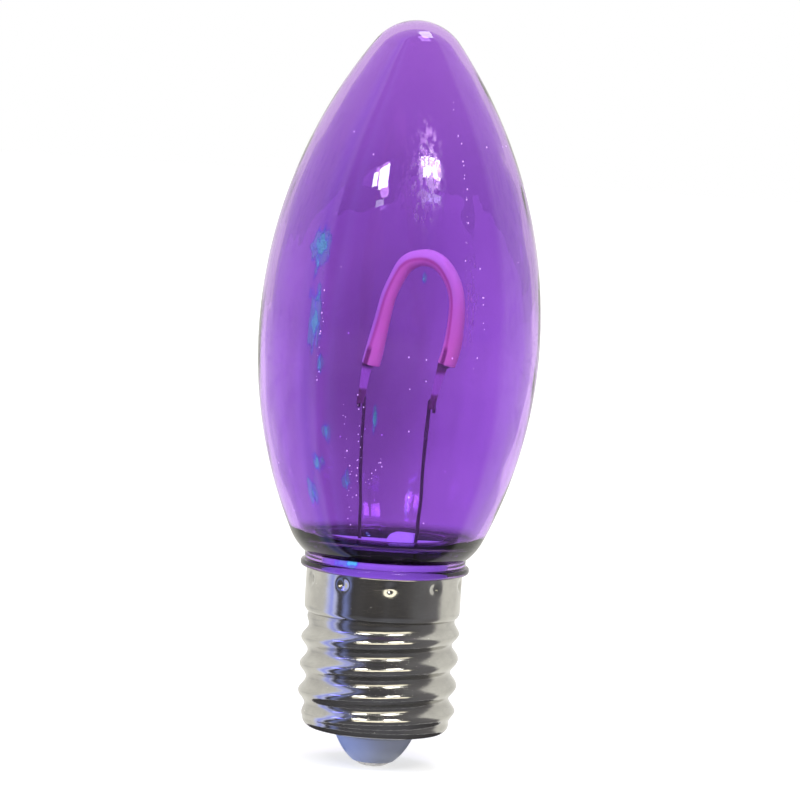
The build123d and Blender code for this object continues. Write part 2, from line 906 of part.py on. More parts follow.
# Lead to the screw shell: up the front of the board, then out to the groove above the thread
shell_lead_across = shell_lead_inset - board_half
shell_lead_foot = board_foot + shell_lead_rise
shell_lead_knee = shell_lead_foot + shell_lead_length
shell_lead_tip = (-(groove_radius - sheet - shell_lead_gap), shell_lead_knee + shell_lead_climb)
shell_lead_plane = lead_plane.offset(front_depth + slip_fit + shell_lead_radius)

shell_lead = round_lead(
    shell_lead_plane,
    [(shell_lead_across, shell_lead_foot), (shell_lead_across, shell_lead_knee), shell_lead_tip],
    shell_lead_bend,
    shell_lead_radius,
)
shell_lead.label = "shell_lead"
export_step(shell_lead, "parts/shell_lead.step")


# Solder: tapered beads on the board, one on the contact's shank and one against the shell

def bead(seat, radius, neighbours):
    """A tapered bead on a plane's origin, cut where its neighbours pass through it."""
    with BuildPart() as lump:
        with Locations(seat):
            Cone(radius, radius * bead_taper, radius, align=(Align.CENTER, Align.CENTER, Align.MIN))
        for neighbour in neighbours:
            add(neighbour, mode=Mode.SUBTRACT)
    return lump.part


def front_seat(across, height):
    """A seat on the front of the board."""
    return Plane(origin=lead_plane.from_local_coords((across, height, front_depth)), z_dir=lead_plane.z_dir)


def back_seat(across, height):
    """A seat on the back of the board."""
    origin = lead_plane.from_local_coords((across, height, back_depth))
    return Plane(origin=origin, z_dir=lead_plane.z_dir * -1)


wire_foot = floor_height - wire_tail
shell_seat_point = shell_lead_plane.from_local_coords((shell_lead_tip[0], shell_lead_tip[1], 0))
shell_seat = Plane(origin=shell_seat_point, z_dir=shell_lead_plane.x_dir * -1)
beads = [
    bead(front_seat(wire_places[0], wire_foot + bead_rise), bead_radius, [support_wires[-1]]),
    bead(front_seat(wire_places[1], wire_foot + bead_rise), bead_radius, [support_wires[1]]),
    bead(front_seat(0, upper_lead_height), bead_radius, [upper_lead]),
    bead(front_seat(shell_lead_across, shell_lead_foot + bead_rise), bead_radius, [shell_lead]),
    bead(back_seat(-capacitor_lead_spacing / 2, capacitor_lead_height), small_bead_radius, capacitor_leads),
    bead(back_seat(capacitor_lead_spacing / 2, capacitor_lead_height), small_bead_radius, capacitor_leads),
    bead(Plane(origin=(0, 0, shank_top)), contact_bead_radius, [lower_lead]),
    bead(shell_seat, bead_radius, [shell_lead, screw_shell.part]),
]
with BuildPart() as solder_joints:
    add(beads)
solder_joints.part.label = "solder_joints"
export_step(solder_joints.part, "parts/solder_joints.step")
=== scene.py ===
import logging
import math
import random
from dataclasses import dataclass
from enum import Enum

import bmesh
import bpy
from mathutils import Matrix, Vector, noise


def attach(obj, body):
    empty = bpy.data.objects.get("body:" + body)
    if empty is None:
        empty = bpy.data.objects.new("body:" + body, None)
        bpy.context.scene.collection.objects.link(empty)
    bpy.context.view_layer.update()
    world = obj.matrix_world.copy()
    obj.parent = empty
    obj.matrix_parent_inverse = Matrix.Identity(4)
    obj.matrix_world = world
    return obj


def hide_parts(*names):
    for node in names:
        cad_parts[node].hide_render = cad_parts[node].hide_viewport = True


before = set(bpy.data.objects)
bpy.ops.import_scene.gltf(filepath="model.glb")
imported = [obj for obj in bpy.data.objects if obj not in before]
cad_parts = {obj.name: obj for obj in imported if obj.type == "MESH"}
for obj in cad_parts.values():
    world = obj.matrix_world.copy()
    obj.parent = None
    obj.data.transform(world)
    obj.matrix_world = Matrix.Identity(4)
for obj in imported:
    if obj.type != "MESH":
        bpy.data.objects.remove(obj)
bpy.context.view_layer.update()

# Looks of a purple decorative bulb with an intermediate screw base. Sizes are in millimetres, and a
# mesh is brought to metres when it is finished.
MM = 0.001
LEAD_TURN = math.radians(-16.0)
AXIS_BACK = Vector((0.0, -1.0, 0.0))
WHITE = (1.0, 1.0, 1.0, 1.0)
log = logging.getLogger("bulb")

Colour = tuple[float, float, float, float]
Point = tuple[float, float, float]
Socket = bpy.types.NodeSocket
# Azimuth in degrees, height, and reach in both.
Spots = tuple[tuple[float, float, float, float], ...]


def paint(red: float, green: float, blue: float) -> Colour:
    """Turn a screen colour of 0 to 255 into the linear colour a shader socket takes.

    Args:
        red: Red, 0 to 255.
        green: Green, 0 to 255.
        blue: Blue, 0 to 255.

    Returns:
        The linear colour with an alpha of one.
    """
    linear = []
    for value in (red, green, blue):
        share = value / 255.0
        linear.append(share / 12.92 if share <= 0.04045 else ((share + 0.055) / 1.055) ** 2.4)
    return (linear[0], linear[1], linear[2], 1.0)


class Part(Enum):
    """The record's material slots for the parts that the scene's own pieces stand for."""

    GLOBE = "globe"
    SHELL = "screw_shell"
    INSULATOR = "base_insulator"
    CONTACT = "centre_contact"
    COATING = "filament_coating"
    WIRE = "wire_steel"


class Recipe:
    """A material's node tree, with short calls for the nodes that the finishes share."""

    def __init__(self, name: str) -> None:
        """Start a material with its Principled shader.

        Args:
            name: The material's name.
        """
        self.material = bpy.data.materials.new(name)
        self.material.use_nodes = True
        self.tree = self.material.node_tree
        self.shader = self.tree.nodes["Principled BSDF"]
        self.output = self.tree.nodes["Material Output"]
        self.place = self.node("ShaderNodeTexCoord").outputs["Object"]

    def node(self, kind: str, **settings: object) -> bpy.types.Node:
        """Add a node.

        Args:
            kind: The node's type name.
            settings: Properties to set on it.

        Returns:
            The new node.
        """
        made = self.tree.nodes.new(kind)
        for key, value in settings.items():
            setattr(made, key, value)
        return made

    def link(self, source: Socket, target: Socket) -> None:
        """Join an output to an input."""
        self.tree.links.new(source, target)

    def set(self, **values: object) -> None:
        """Set constants on the shader's own sockets.

        Args:
            values: Socket names, with _ for each space, and their values.
        """
        for key, value in values.items():
            self.shader.inputs[key.replace("_", " ")].default_value = value

    def feed(self, **sources: Socket) -> None:
        """Link results to the shader's own sockets.

        Args:
            sources: Socket names, with _ for each space, and what feeds them.
        """
        for key, source in sources.items():
            self.link(source, self.shader.inputs[key.replace("_", " ")])

    def show(self, made: bpy.types.Node, alone: bool = True) -> None:
        """Let a node make the surface.

        Args:
            made: The node.
            alone: Whether the Principled shader goes.
        """
        if alone:
            self.tree.nodes.remove(self.shader)
        self.link(made.outputs[0], self.output.inputs["Surface"])

    def grain(self, scale: float, detail: float = 3.0, stretch: Point = (1.0, 1.0, 1.0)) -> Socket:
        """Make noise on object coordinates.

        Args:
            scale: Waves in a metre.
            detail: Octaves.
            stretch: How much finer the noise is along each axis.

        Returns:
            The noise's value, about 0.3 to 0.7.
        """
        mapping = self.node("ShaderNodeMapping")
        mapping.inputs["Scale"].default_value = stretch
        self.link(self.place, mapping.inputs["Vector"])
        made = self.node("ShaderNodeTexNoise")
        made.inputs["Scale"].default_value = scale
        made.inputs["Detail"].default_value = detail
        self.link(mapping.outputs["Vector"], made.inputs["Vector"])
        return made.outputs["Fac"]

    def spread(
        self, source: Socket, low: float, high: float, start: float = 0.3, stop: float = 0.7
    ) -> Socket:
        """Map a value's usual range onto another.

        Args:
            source: The value.
            low: What it becomes at start.
            high: What it becomes at stop.
            start: Lower end of the usual range.
            stop: Upper end of the usual range.

        Returns:
            The mapped value.
        """
        made = self.node("ShaderNodeMapRange")
        self.link(source, made.inputs["Value"])
        for key, value in (("From Min", start), ("From Max", stop), ("To Min", low), ("To Max", high)):
            made.inputs[key].default_value = value
        return made.outputs["Result"]

    def math(self, step: str, first: Socket, second: Socket | float = 0.0) -> Socket:
        """Work out one sum.

        Args:
            step: The Math node's operation.
            first: Its first value.
            second: Its second value, a socket or a number.

        Returns:
            The result.
        """
        made = self.node("ShaderNodeMath", operation=step)
        self.link(first, made.inputs[0])
        if isinstance(second, Socket):
            self.link(second, made.inputs[1])
        else:
            made.inputs[1].default_value = second
        return made.outputs[0]

    def blend(self, share: Socket, first: Colour | Socket, second: Colour | Socket) -> Socket:
        """Blend two colours.

        Args:
            share: How much of the second.
            first: The colour at 0.
            second: The colour at 1.

        Returns:
            The blended colour.
        """
        made = self.node("ShaderNodeMix", data_type="RGBA")
        self.link(share, made.inputs["Factor"])
        for socket, value in ((made.inputs[6], first), (made.inputs[7], second)):
            if isinstance(value, Socket):
                self.link(value, socket)
            else:
                socket.default_value = value
        return made.outputs[2]

    def bump(self, height: Socket, strength: float, distance: float) -> None:
        """Raise the shader's surface by a height.

        Args:
            height: The height, 0 to 1.
            strength: How much of it shows.
            distance: Its full height in metres.
        """
        made = self.node("ShaderNodeBump")
        made.inputs["Strength"].default_value = strength
        made.inputs["Distance"].default_value = distance
        self.link(height, made.inputs["Height"])
        self.feed(Normal=made.outputs["Normal"])

    def axis_value(self, axis: str) -> Socket:
        """One object coordinate, X, Y or Z, in metres."""
        parts = self.node("ShaderNodeSeparateXYZ")
        self.link(self.place, parts.inputs[0])
        return parts.outputs[axis]

    def length(self, place: Socket, weights: Point, middle: Point | None = None) -> Socket:
        """Distance of a place from a middle, with each direction weighted.

        Args:
            place: The place.
            weights: What each part of the way is multiplied by.
            middle: The middle, or nothing for the origin.

        Returns:
            The distance.
        """
        if middle is not None:
            moved = self.node("ShaderNodeVectorMath", operation="SUBTRACT")
            moved.inputs[1].default_value = middle
            self.link(place, moved.inputs[0])
            place = moved.outputs["Vector"]
        scaled = self.node("ShaderNodeVectorMath", operation="MULTIPLY")
        scaled.inputs[1].default_value = weights
        self.link(place, scaled.inputs[0])
        made = self.node("ShaderNodeVectorMath", operation="LENGTH")
        self.link(scaled.outputs["Vector"], made.inputs[0])
        return made.outputs["Value"]

    def off_axis(self) -> Socket:
        """Distance from the upright axis, in metres."""
        return self.length(self.place, (1.0, 1.0, 0.0))

    def azimuth(self) -> Socket:
        """Angle about the upright axis in radians, 0 at -Y and growing towards +X."""
        away = self.math("MULTIPLY", self.axis_value("Y"), -1.0)
        return self.math("ARCTAN2", self.axis_value("X"), away)

    def spots(self, places: Spots) -> Socket:
        """One in the middle of each spot of the wall, zero at its edge and elsewhere.

        Args:
            places: Each spot's azimuth in degrees, height in millimetres, and reach in both.

        Returns:
            The share.
        """
        wrapped = self.node("ShaderNodeCombineXYZ")
        self.link(self.azimuth(), wrapped.inputs["X"])
        self.link(self.axis_value("Z"), wrapped.inputs["Y"])
        share = None
        for turn, height, turn_reach, height_reach in places:
            weights = (1.0 / math.radians(turn_reach), 1.0 / (height_reach * MM), 0.0)
            gap = self.length(wrapped.outputs["Vector"], weights, (math.radians(turn), height * MM, 0.0))
            spot = self.spread(gap, 1.0, 0.0, 0.0, 1.0)
            share = spot if share is None else self.math("MAXIMUM", share, spot)
        return share


class Finish:
    """What a surface is made of. Each kind has a name for its material."""

    name: str

    def lay(self, recipe: Recipe) -> None:
        """Lay the finish's nodes.

        Args:
            recipe: The material's recipe.
        """
        raise NotImplementedError

    def make(self) -> bpy.types.Material:
        """Make the material.

        Returns:
            The material.
        """
        recipe = Recipe(self.name)
        self.lay(recipe)
        return recipe.material


@dataclass(frozen=True)
class TintedPlastic(Finish):
    """Clear blown plastic with a thin tint, waves and flow marks from the blowing, painted blue and teal
    glints on the marks, a painted grey edge, and a thick foot darkened by painted shade.
    """

    name: str = "globe_plastic"
    tint: Colour = paint(187, 140, 222)
    deeper: Colour = paint(178, 130, 214)
    tip: Colour = paint(200, 154, 230)
    # Painted reflections: teal and blue glints laid on the flow marks.
    painted_teal_glint: Colour = paint(126, 255, 226)
    blue: Colour = paint(96, 104, 240)
    # Near black: the thick foot's deeper tint, with painted shade for its dark band.
    foot: Colour = paint(13, 9, 19)
    # Painted shade: grey for the edge of the wall.
    painted_limb_shade: Colour = paint(104, 112, 104)
    lamp_tint: Colour = paint(248, 232, 252)
    refraction: float = 1.49
    fold_and_glint_strength: float = 0.72
    tip_heights: tuple[float, float] = (58.0, 77.0)
    foot_shade_heights: tuple[float, ...] = (22.1, 22.5, 23.7, 24.9)
    # Share of painted shade on the flange below the foot.
    flange_shade: float = 0.22
    relief: float = 0.12
    folds_and_painted_glints: Spots = (
        (-38.0, 54.5, 7.5, 5.0),
        (-37.0, 47.5, 5.0, 5.5),
        (-33.0, 43.0, 2.5, 2.0),
        (-30.0, 36.0, 3.0, 1.6),
        (-36.0, 32.5, 6.5, 2.2),
        (-41.0, 29.5, 3.0, 2.8),
        (-21.0, 31.5, 2.5, 2.0),
        (-8.0, 37.4, 1.6, 2.0),
        (-11.0, 25.6, 3.5, 0.8),
        (9.0, 52.0, 1.8, 1.1),
        (-28.0, 22.0, 14.0, 1.0),
    )
    scuffs: Spots = ((7.0, 61.5, 15.0, 9.0), (30.0, 50.0, 5.0, 9.0))

    def lay(self, recipe: Recipe) -> None:
        """Lay the finish's nodes."""
        recipe.set(Transmission_Weight=1.0, IOR=self.refraction)
        cloud = recipe.spread(recipe.grain(90.0, 2.0), 0.0, 1.0)
        height = recipe.axis_value("Z")
        tone = recipe.blend(cloud, self.tint, self.deeper)
        start, end = (value * MM for value in self.tip_heights)
        tone = recipe.blend(recipe.spread(height, 0.0, 1.0, start, end), tone, self.tip)
        # The marks' spots carry real folds in the bump and painted blue and teal glints in the colour.
        reach = recipe.math("MULTIPLY", recipe.spots(self.folds_and_painted_glints), self.fold_and_glint_strength)
        broad = recipe.math("MULTIPLY", recipe.grain(430.0, 4.0, (1.0, 1.0, 0.5)), 0.5)
        fine = recipe.math("MULTIPLY", recipe.grain(1500.0, 4.0, (1.0, 1.0, 0.35)), 0.5)
        drift = recipe.spread(recipe.math("ADD", broad, fine), 0.0, 0.58, 0.36, 0.64)
        level = recipe.math("ADD", drift, reach)
        marks = recipe.spread(level, 0.0, 0.9, 0.69, 0.77)
        # Painted reflection: blue, then teal glints in the colour where the marks run high.
        tone = recipe.blend(recipe.spread(level, 0.0, 0.75, 0.6, 0.69), tone, self.blue)
        tone = recipe.blend(marks, tone, self.painted_teal_glint)
        # Painted shade: the colour turns grey where the wall is seen at a grazing angle.
        facing = recipe.node("ShaderNodeLayerWeight").outputs["Facing"]
        tone = recipe.blend(recipe.spread(facing, 0.0, 0.7, 0.86, 1.0), tone, self.painted_limb_shade)
        # Painted shade: the flange below the foot is darkened a little, and the foot band turns near black,
        # partly its deeper tint and partly painted shade.
        low, full, end, top = (value * MM for value in self.foot_shade_heights)
        tone = recipe.blend(recipe.spread(height, self.flange_shade, 0.0, low - MM, low), tone, self.foot)
        foot = recipe.math(
            "MULTIPLY", recipe.spread(height, 0.0, 1.0, low, full), recipe.spread(height, 1.0, 0.0, end, top)
        )
        tone = recipe.blend(foot, tone, self.foot)
        recipe.feed(Base_Color=tone)
        streaks = recipe.spread(recipe.grain(2600.0, 3.0, (1.0, 1.0, 0.2)), 0.0, 0.5, 0.48, 0.62)
        recipe.feed(Roughness=recipe.math("MULTIPLY", recipe.spots(self.scuffs), streaks))
        waves = recipe.grain(260.0, 1.0, (1.0, 1.0, 0.35))
        folds = recipe.math("MULTIPLY", recipe.math("MULTIPLY", marks, recipe.grain(1300.0, 2.0)), 0.8)
        recipe.bump(recipe.math("ADD", waves, folds), 0.35, self.relief * MM)
        rays = recipe.node("ShaderNodeLightPath")
        passing = recipe.node("ShaderNodeBsdfTransparent")
        passing.inputs["Color"].default_value = self.lamp_tint
        either = recipe.node("ShaderNodeMixShader")
        recipe.link(rays.outputs["Is Shadow Ray"], either.inputs["Fac"])
        recipe.link(recipe.shader.outputs[0], either.inputs[1])
        recipe.link(passing.outputs[0], either.inputs[2])
        recipe.show(either, alone=False)


@dataclass(frozen=True)
class NickelPlate(Finish):
    """Bright nickel on rolled sheet, duller in the grooves, with fine marks from rolling."""

    name: str = "nickel_plate"
    bright: Colour = paint(199, 198, 193)
    dull: Colour = paint(156, 154, 150)
    groove_radii: tuple[float, float] = (7.3, 8.1)
    relief: float = 0.08

    def lay(self, recipe: Recipe) -> None:
        """Lay the finish's nodes."""
        recipe.set(Metallic=1.0)
        haze = recipe.spread(recipe.grain(420.0, 4.0), 0.0, 1.0)
        low, high = (value * MM for value in self.groove_radii)
        # Darker and rougher towards the groove radius, with a random haze.
        groove = recipe.spread(recipe.off_axis(), 0.45, 0.0, low, high)
        haze_and_grooves = recipe.math("ADD", recipe.math("MULTIPLY", haze, 0.35), groove)
        recipe.feed(Base_Color=recipe.blend(haze_and_grooves, self.bright, self.dull))
        recipe.feed(Roughness=recipe.spread(haze_and_grooves, 0.09, 0.24, 0.0, 0.8))
        dents = recipe.math("MULTIPLY", recipe.grain(380.0, 1.0), 0.8)
        marks = recipe.math("MULTIPLY", recipe.grain(1400.0, 3.0, (1.0, 1.0, 4.0)), 0.2)
        recipe.bump(recipe.math("ADD", dents, marks), 0.5, self.relief * MM)


@dataclass(frozen=True)
class Moulding(Finish):
    """Moulded plastic, with a soft sheen and the faint mottling of the mould."""

    name: str
    colour: Colour
    shade: Colour
    roughness: tuple[float, float] = (0.32, 0.48)
    scale: float = 700.0
    relief: float = 0.00002

    def lay(self, recipe: Recipe) -> None:
        """Lay the finish's nodes."""
        cloud = recipe.spread(recipe.grain(self.scale * 0.3), 0.0, 1.0)
        fine = recipe.grain(self.scale * 4.0, 4.0)
        recipe.feed(Base_Color=recipe.blend(cloud, self.colour, self.shade))
        recipe.feed(Roughness=recipe.spread(fine, *self.roughness))
        recipe.bump(fine, 0.3, self.relief)


@dataclass(frozen=True)
class DrawnMetal(Finish):
    """Drawn wire or rolled strip, streaked along its length."""

    name: str
    colour: Colour
    stain: Colour
    roughness: tuple[float, float] = (0.22, 0.42)

    def lay(self, recipe: Recipe) -> None:
        """Lay the finish's nodes."""
        recipe.set(Metallic=1.0)
        streak = recipe.spread(recipe.grain(1500.0, 3.0, (1.0, 1.0, 0.15)), 0.0, 1.0)
        recipe.feed(Base_Color=recipe.blend(streak, self.colour, self.stain))
        recipe.feed(Roughness=recipe.spread(streak, *self.roughness, 0.0, 1.0))
        recipe.bump(streak, 0.2, 0.01 * MM)


@dataclass(frozen=True)
class Silicone(Finish):
    """Soft milky silicone, pinker on its inner side, with the strip's dark edge and ends inside it."""

    name: str = "silicone"
    outer: Colour = paint(230, 208, 218)
    inner: Colour = paint(248, 186, 196)
    edge: Colour = paint(196, 100, 132)
    ends: Colour = paint(140, 64, 104)
    leg: float = 2.0
    outer_side: tuple[float, float] = (0.001, 0.003)
    outer_heights: tuple[float, float] = (0.045, 0.054)
    edge_reach: tuple[float, float] = (0.008, 0.05)

    def lay(self, recipe: Recipe) -> None:
        """Lay the finish's nodes."""
        recipe.set(Subsurface_Weight=0.25, Subsurface_Radius=(0.0006, 0.0003, 0.0005), Coat_Weight=0.25)
        around = recipe.node("ShaderNodeAttribute", attribute_name="around").outputs["Fac"]
        along = recipe.node("ShaderNodeAttribute", attribute_name="along").outputs["Fac"]
        left_over = recipe.node("ShaderNodeAttribute", attribute_name="left_over").outputs["Fac"]
        side = recipe.spread(around, 0.0, 1.0, -0.04, 0.04)
        right = recipe.spread(recipe.axis_value("X"), 0.0, 1.0, *self.outer_side)
        lower = recipe.spread(recipe.axis_value("Z"), 1.0, 0.0, *self.outer_heights)
        side = recipe.math("SUBTRACT", side, recipe.math("MULTIPLY", right, lower))
        cloud = recipe.spread(recipe.grain(900.0), -0.06, 0.06)
        tone = recipe.blend(recipe.math("ADD", side, cloud), self.inner, self.outer)
        seam = recipe.spread(recipe.math("ABSOLUTE", around), 0.7, 0.0, *self.edge_reach)
        tone = recipe.blend(seam, tone, self.edge)
        nearest = recipe.math("MINIMUM", along, left_over)
        low = recipe.spread(nearest, 1.0, 0.0, self.leg * 0.75, self.leg)
        broad = recipe.spread(recipe.math("ABSOLUTE", around), 1.0, 0.0, 0.03, 0.06)
        tone = recipe.blend(recipe.math("MULTIPLY", low, broad), tone, self.ends)
        recipe.feed(Base_Color=tone)
        recipe.feed(Roughness=recipe.spread(recipe.grain(3500.0), 0.3, 0.45))
        recipe.bump(recipe.grain(1100.0, 2.0), 0.3, 0.05 * MM)


@dataclass(frozen=True)
class LeadStrip(Finish):
    """The filament's end: a dark folded clamp above, a pale tinned ribbon below."""

    name: str = "lead_strip"
    ribbon: Colour = paint(182, 146, 190)
    clamp: Colour = paint(86, 42, 66)
    weld: float = 39.4
    parting: float = 41.6

    def lay(self, recipe: Recipe) -> None:
        """Lay the finish's nodes."""
        recipe.set(Metallic=0.1)
        upper = recipe.spread(recipe.axis_value("Z"), 0.0, 1.0, self.parting * MM, (self.parting + 0.4) * MM)
        streak = recipe.spread(recipe.grain(2200.0, 3.0, (1.0, 1.0, 0.2)), 0.0, 0.2)
        weld = recipe.spread(recipe.axis_value("Z"), 1.0, 0.0, self.weld * MM, (self.weld + 0.3) * MM)
        share = recipe.math("ADD", recipe.math("MULTIPLY", recipe.math("MAXIMUM", upper, weld), 0.8), streak)
        recipe.feed(Base_Color=recipe.blend(share, self.ribbon, self.clamp))
        recipe.feed(Roughness=recipe.spread(streak, 0.2, 0.4, 0.0, 0.2))
        recipe.bump(streak, 0.3, 0.02 * MM)


class Lathe:
    """Draws a half section with mesh operators, in the XZ plane, and turns it round the Z axis."""

    def __init__(self, radius: float, height: float) -> None:
        """Set the section's first point.

        Args:
            radius: Its distance from the axis.
            height: Its height.
        """
        self.mesh = bmesh.new()
        self.tip = self.mesh.verts.new((radius, 0.0, height))

    def line(self, radius: float, height: float, steps: int = 1) -> None:
        """Draw a straight run.

        Args:
            radius: Its end's distance from the axis.
            height: Its end's height.
            steps: Edges along it.
        """
        start, goal = self.tip.co.copy(), Vector((radius, 0.0, height))
        for step in range(1, steps + 1):
            self.tip = bmesh.ops.extrude_vert_indiv(self.mesh, verts=[self.tip])["verts"][0]
            self.tip.co = start.lerp(goal, step / steps)

    def arc(self, centre: tuple[float, float], degrees: float, steps: int) -> None:
        """Draw an arc, counter-clockwise where degrees is positive.

        Args:
            centre: The distance of its centre from the axis, and its height.
            degrees: Its turn.
            steps: Edges along it.
        """
        made = bmesh.ops.spin(
            self.mesh,
            geom=[self.tip],
            cent=(centre[0], 0.0, centre[1]),
            axis=(0.0, -1.0, 0.0),
            angle=math.radians(degrees),
            steps=steps,
        )
        self.tip = next(item for item in made["geom_last"] if isinstance(item, bmesh.types.BMVert))

    def curve(self, bulge: tuple[float, float], end: tuple[float, float], steps: int) -> None:
        """Draw a curve that is pulled towards one point.

        Args:
            bulge: The point.
            end: The curve's end.
            steps: Edges along it.
        """
        start, pull, goal = Vector((self.tip.co.x, self.tip.co.z)), Vector(bulge), Vector(end)
        for step in range(1, steps + 1):
            share = step / steps
            point = start * (1 - share) ** 2 + pull * 2 * share * (1 - share) + goal * share**2
            self.line(point.x, point.y)

    def turn(self, steps: int) -> bmesh.types.BMesh:
        """Turn the section round the axis and close it.

        Args:
            steps: Faces round.

        Returns:
            The turned mesh.
        """
        bmesh.ops.spin(
            self.mesh,
            geom=self.mesh.verts[:] + self.mesh.edges[:],
            cent=(0.0, 0.0, 0.0),
            axis=(0.0, 0.0, 1.0),
            angle=math.tau,
            steps=steps,
            use_merge=True,
        )
        bmesh.ops.remove_doubles(self.mesh, verts=self.mesh.verts, dist=1e-4)
        bmesh.ops.recalc_face_normals(self.mesh, faces=self.mesh.faces)
        return self.mesh


def push_rim(mesh: bmesh.types.BMesh, rim: list[bmesh.types.BMEdge]) -> tuple[list, list]:
    """Extrude a rim where it stands.

    Args:
        mesh: Its mesh.
        rim: Its edges.

    Returns:
        The new vertices and the new rim.
    """
    made = bmesh.ops.extrude_edge_only(mesh, edges=rim)["geom"]
    verts = [item for item in made if isinstance(item, bmesh.types.BMVert)]
    return verts, [item for item in made if isinstance(item, bmesh.types.BMEdge) and item.is_boundary]


class RingTower:
    """Grows a wall from a ring of edges, each next ring moved, scaled and raised."""

    def __init__(self, segments: int, radius: float, height: float) -> None:
        """Make the first ring, round the Z axis.

        Args:
            segments: Edges round.
            radius: Its radius.
            height: Its height.
        """
        self.mesh = bmesh.new()
        made = bmesh.ops.create_circle(self.mesh, segments=segments, radius=radius)
        bmesh.ops.translate(self.mesh, verts=made["verts"], vec=(0.0, 0.0, height))
        self.rim = self.mesh.edges[:]
        self.centre = Vector((0.0, 0.0, height))
        self.radius = radius

    def grow(self, radius: float, height: float, centre: tuple[float, float] = (0.0, 0.0)) -> None:
        """Extrude the last ring to a new one.

        Args:
            radius: The new ring's radius.
            height: Its height.
            centre: Where its middle stands.
        """
        verts, self.rim = push_rim(self.mesh, self.rim)
        goal = Vector((centre[0], centre[1], height))
        move = (
            Matrix.Translation(goal)
            @ Matrix.Diagonal((radius / self.radius, radius / self.radius, 1.0, 1.0))
            @ Matrix.Translation(-self.centre)
        )
        bmesh.ops.transform(self.mesh, matrix=move, verts=verts)
        self.centre, self.radius = goal, radius


class BentBar:
    """Carries a closed section along runs and bends in the XZ plane, by extruding and moving it."""

    ring_gap = 1.5

    def __init__(self, start: tuple[float, float], heading: float, segments: int, width: float) -> None:
        """Make the round section at its start.

        Args:
            start: Where its middle lies, across and up.
            heading: Its direction in degrees, 0 to the right and 90 upward.
            segments: Edges round the section.
            width: Its diameter.
        """
        self.mesh = bmesh.new()
        self.around = self.mesh.verts.layers.float.new("around")
        self.along = self.mesh.verts.layers.float.new("along")
        made = bmesh.ops.create_circle(self.mesh, segments=segments, radius=0.5)
        for vert in made["verts"]:
            vert[self.around] = math.atan2(-vert.co.x, -vert.co.y) / math.tau
        bmesh.ops.scale(self.mesh, verts=made["verts"], vec=(width, width, 1.0))
        turn = Matrix.Rotation(math.radians(heading - 90.0), 3, AXIS_BACK)
        bmesh.ops.rotate(self.mesh, verts=made["verts"], matrix=turn)
        self.tip = Vector((start[0], 0.0, start[1]))
        bmesh.ops.translate(self.mesh, verts=made["verts"], vec=self.tip)
        self.heading = heading
        self.length = 0.0
        self.rim = self.mesh.edges[:]
        bmesh.ops.contextual_create(self.mesh, geom=self.rim)

    def push(self, matrix: Matrix, length: float) -> None:
        """Extrude the rim, move it on and write on it how far along the bar it is.

        Args:
            matrix: The move.
            length: How much longer the bar becomes.
        """
        verts, self.rim = push_rim(self.mesh, self.rim)
        bmesh.ops.transform(self.mesh, matrix=matrix, verts=verts)
        self.length += length
        for vert in verts:
            vert[self.along] = self.length

    def run(self, length: float, steps: int) -> None:
        """Go straight on.

        Args:
            length: How far.
            steps: Rings along it.
        """
        heading = math.radians(self.heading)
        ahead = Vector((math.cos(heading), 0.0, math.sin(heading))) * (length / steps)
        for _ in range(steps):
            self.push(Matrix.Translation(ahead), length / steps)
        self.tip += ahead * steps

    def bend(self, radius: float, degrees: float, steps: int) -> None:
        """Go round a bend.

        Args:
            radius: The middle line's radius.
            degrees: The turn, to the left where it is positive.
            steps: Rings along it.
        """
        side = math.radians(self.heading + math.copysign(90.0, degrees))
        centre = self.tip + Vector((math.cos(side), 0.0, math.sin(side))) * radius
        step = math.radians(degrees / steps)
        turn = Matrix.Rotation(step, 4, AXIS_BACK)
        turn = Matrix.Translation(centre) @ turn @ Matrix.Translation(-centre)
        for _ in range(steps):
            self.push(turn, abs(step) * radius)
        self.tip = centre + Matrix.Rotation(step * steps, 3, AXIS_BACK) @ (self.tip - centre)
        self.heading += degrees

    def follow(self, points: list[tuple[float, float]], radii: list[float]) -> None:
        """Go on through corners that are rounded.

        Args:
            points: The corners and the end, across and up.
            radii: The radius at each corner.
        """
        for place, point in enumerate(points):
            goal = Vector((point[0], 0.0, point[1]))
            length = (goal - self.tip).length
            steps = max(1, round(length / self.ring_gap))
            if place == len(radii):
                self.run(length, steps)
                return
            after = Vector((points[place + 1][0], 0.0, points[place + 1][1])) - goal
            turn = math.degrees(math.atan2(after.z, after.x)) - self.heading
            turn = (turn + 180.0) % 360.0 - 180.0
            used = radii[place] * math.tan(math.radians(abs(turn)) / 2.0)
            self.run(length - used, steps)
            self.bend(radii[place], turn, max(4, round(abs(turn) / 9.0)))

    def close(self, bevel: float = 0.0) -> bmesh.types.BMesh:
        """Close the far end and turn the bar into the plane of the leads.

        Args:
            bevel: How much its end edges are rounded.

        Returns:
            The finished mesh.
        """
        total = self.length
        over = self.mesh.verts.layers.float.new("left_over")
        for vert in self.mesh.verts:
            vert[over] = total - vert[self.along]
        bmesh.ops.contextual_create(self.mesh, geom=self.rim)
        if bevel > 0.0:
            ends = [edge for edge in self.mesh.edges if any(len(face.verts) > 4 for face in edge.link_faces)]
            bmesh.ops.bevel(
                self.mesh, geom=ends, offset=bevel, affect="EDGES", segments=3, profile=0.5, material=-1
            )
        bmesh.ops.recalc_face_normals(self.mesh, faces=self.mesh.faces)
        bmesh.ops.rotate(self.mesh, verts=self.mesh.verts, matrix=Matrix.Rotation(LEAD_TURN, 3, "Z"))
        return self.mesh


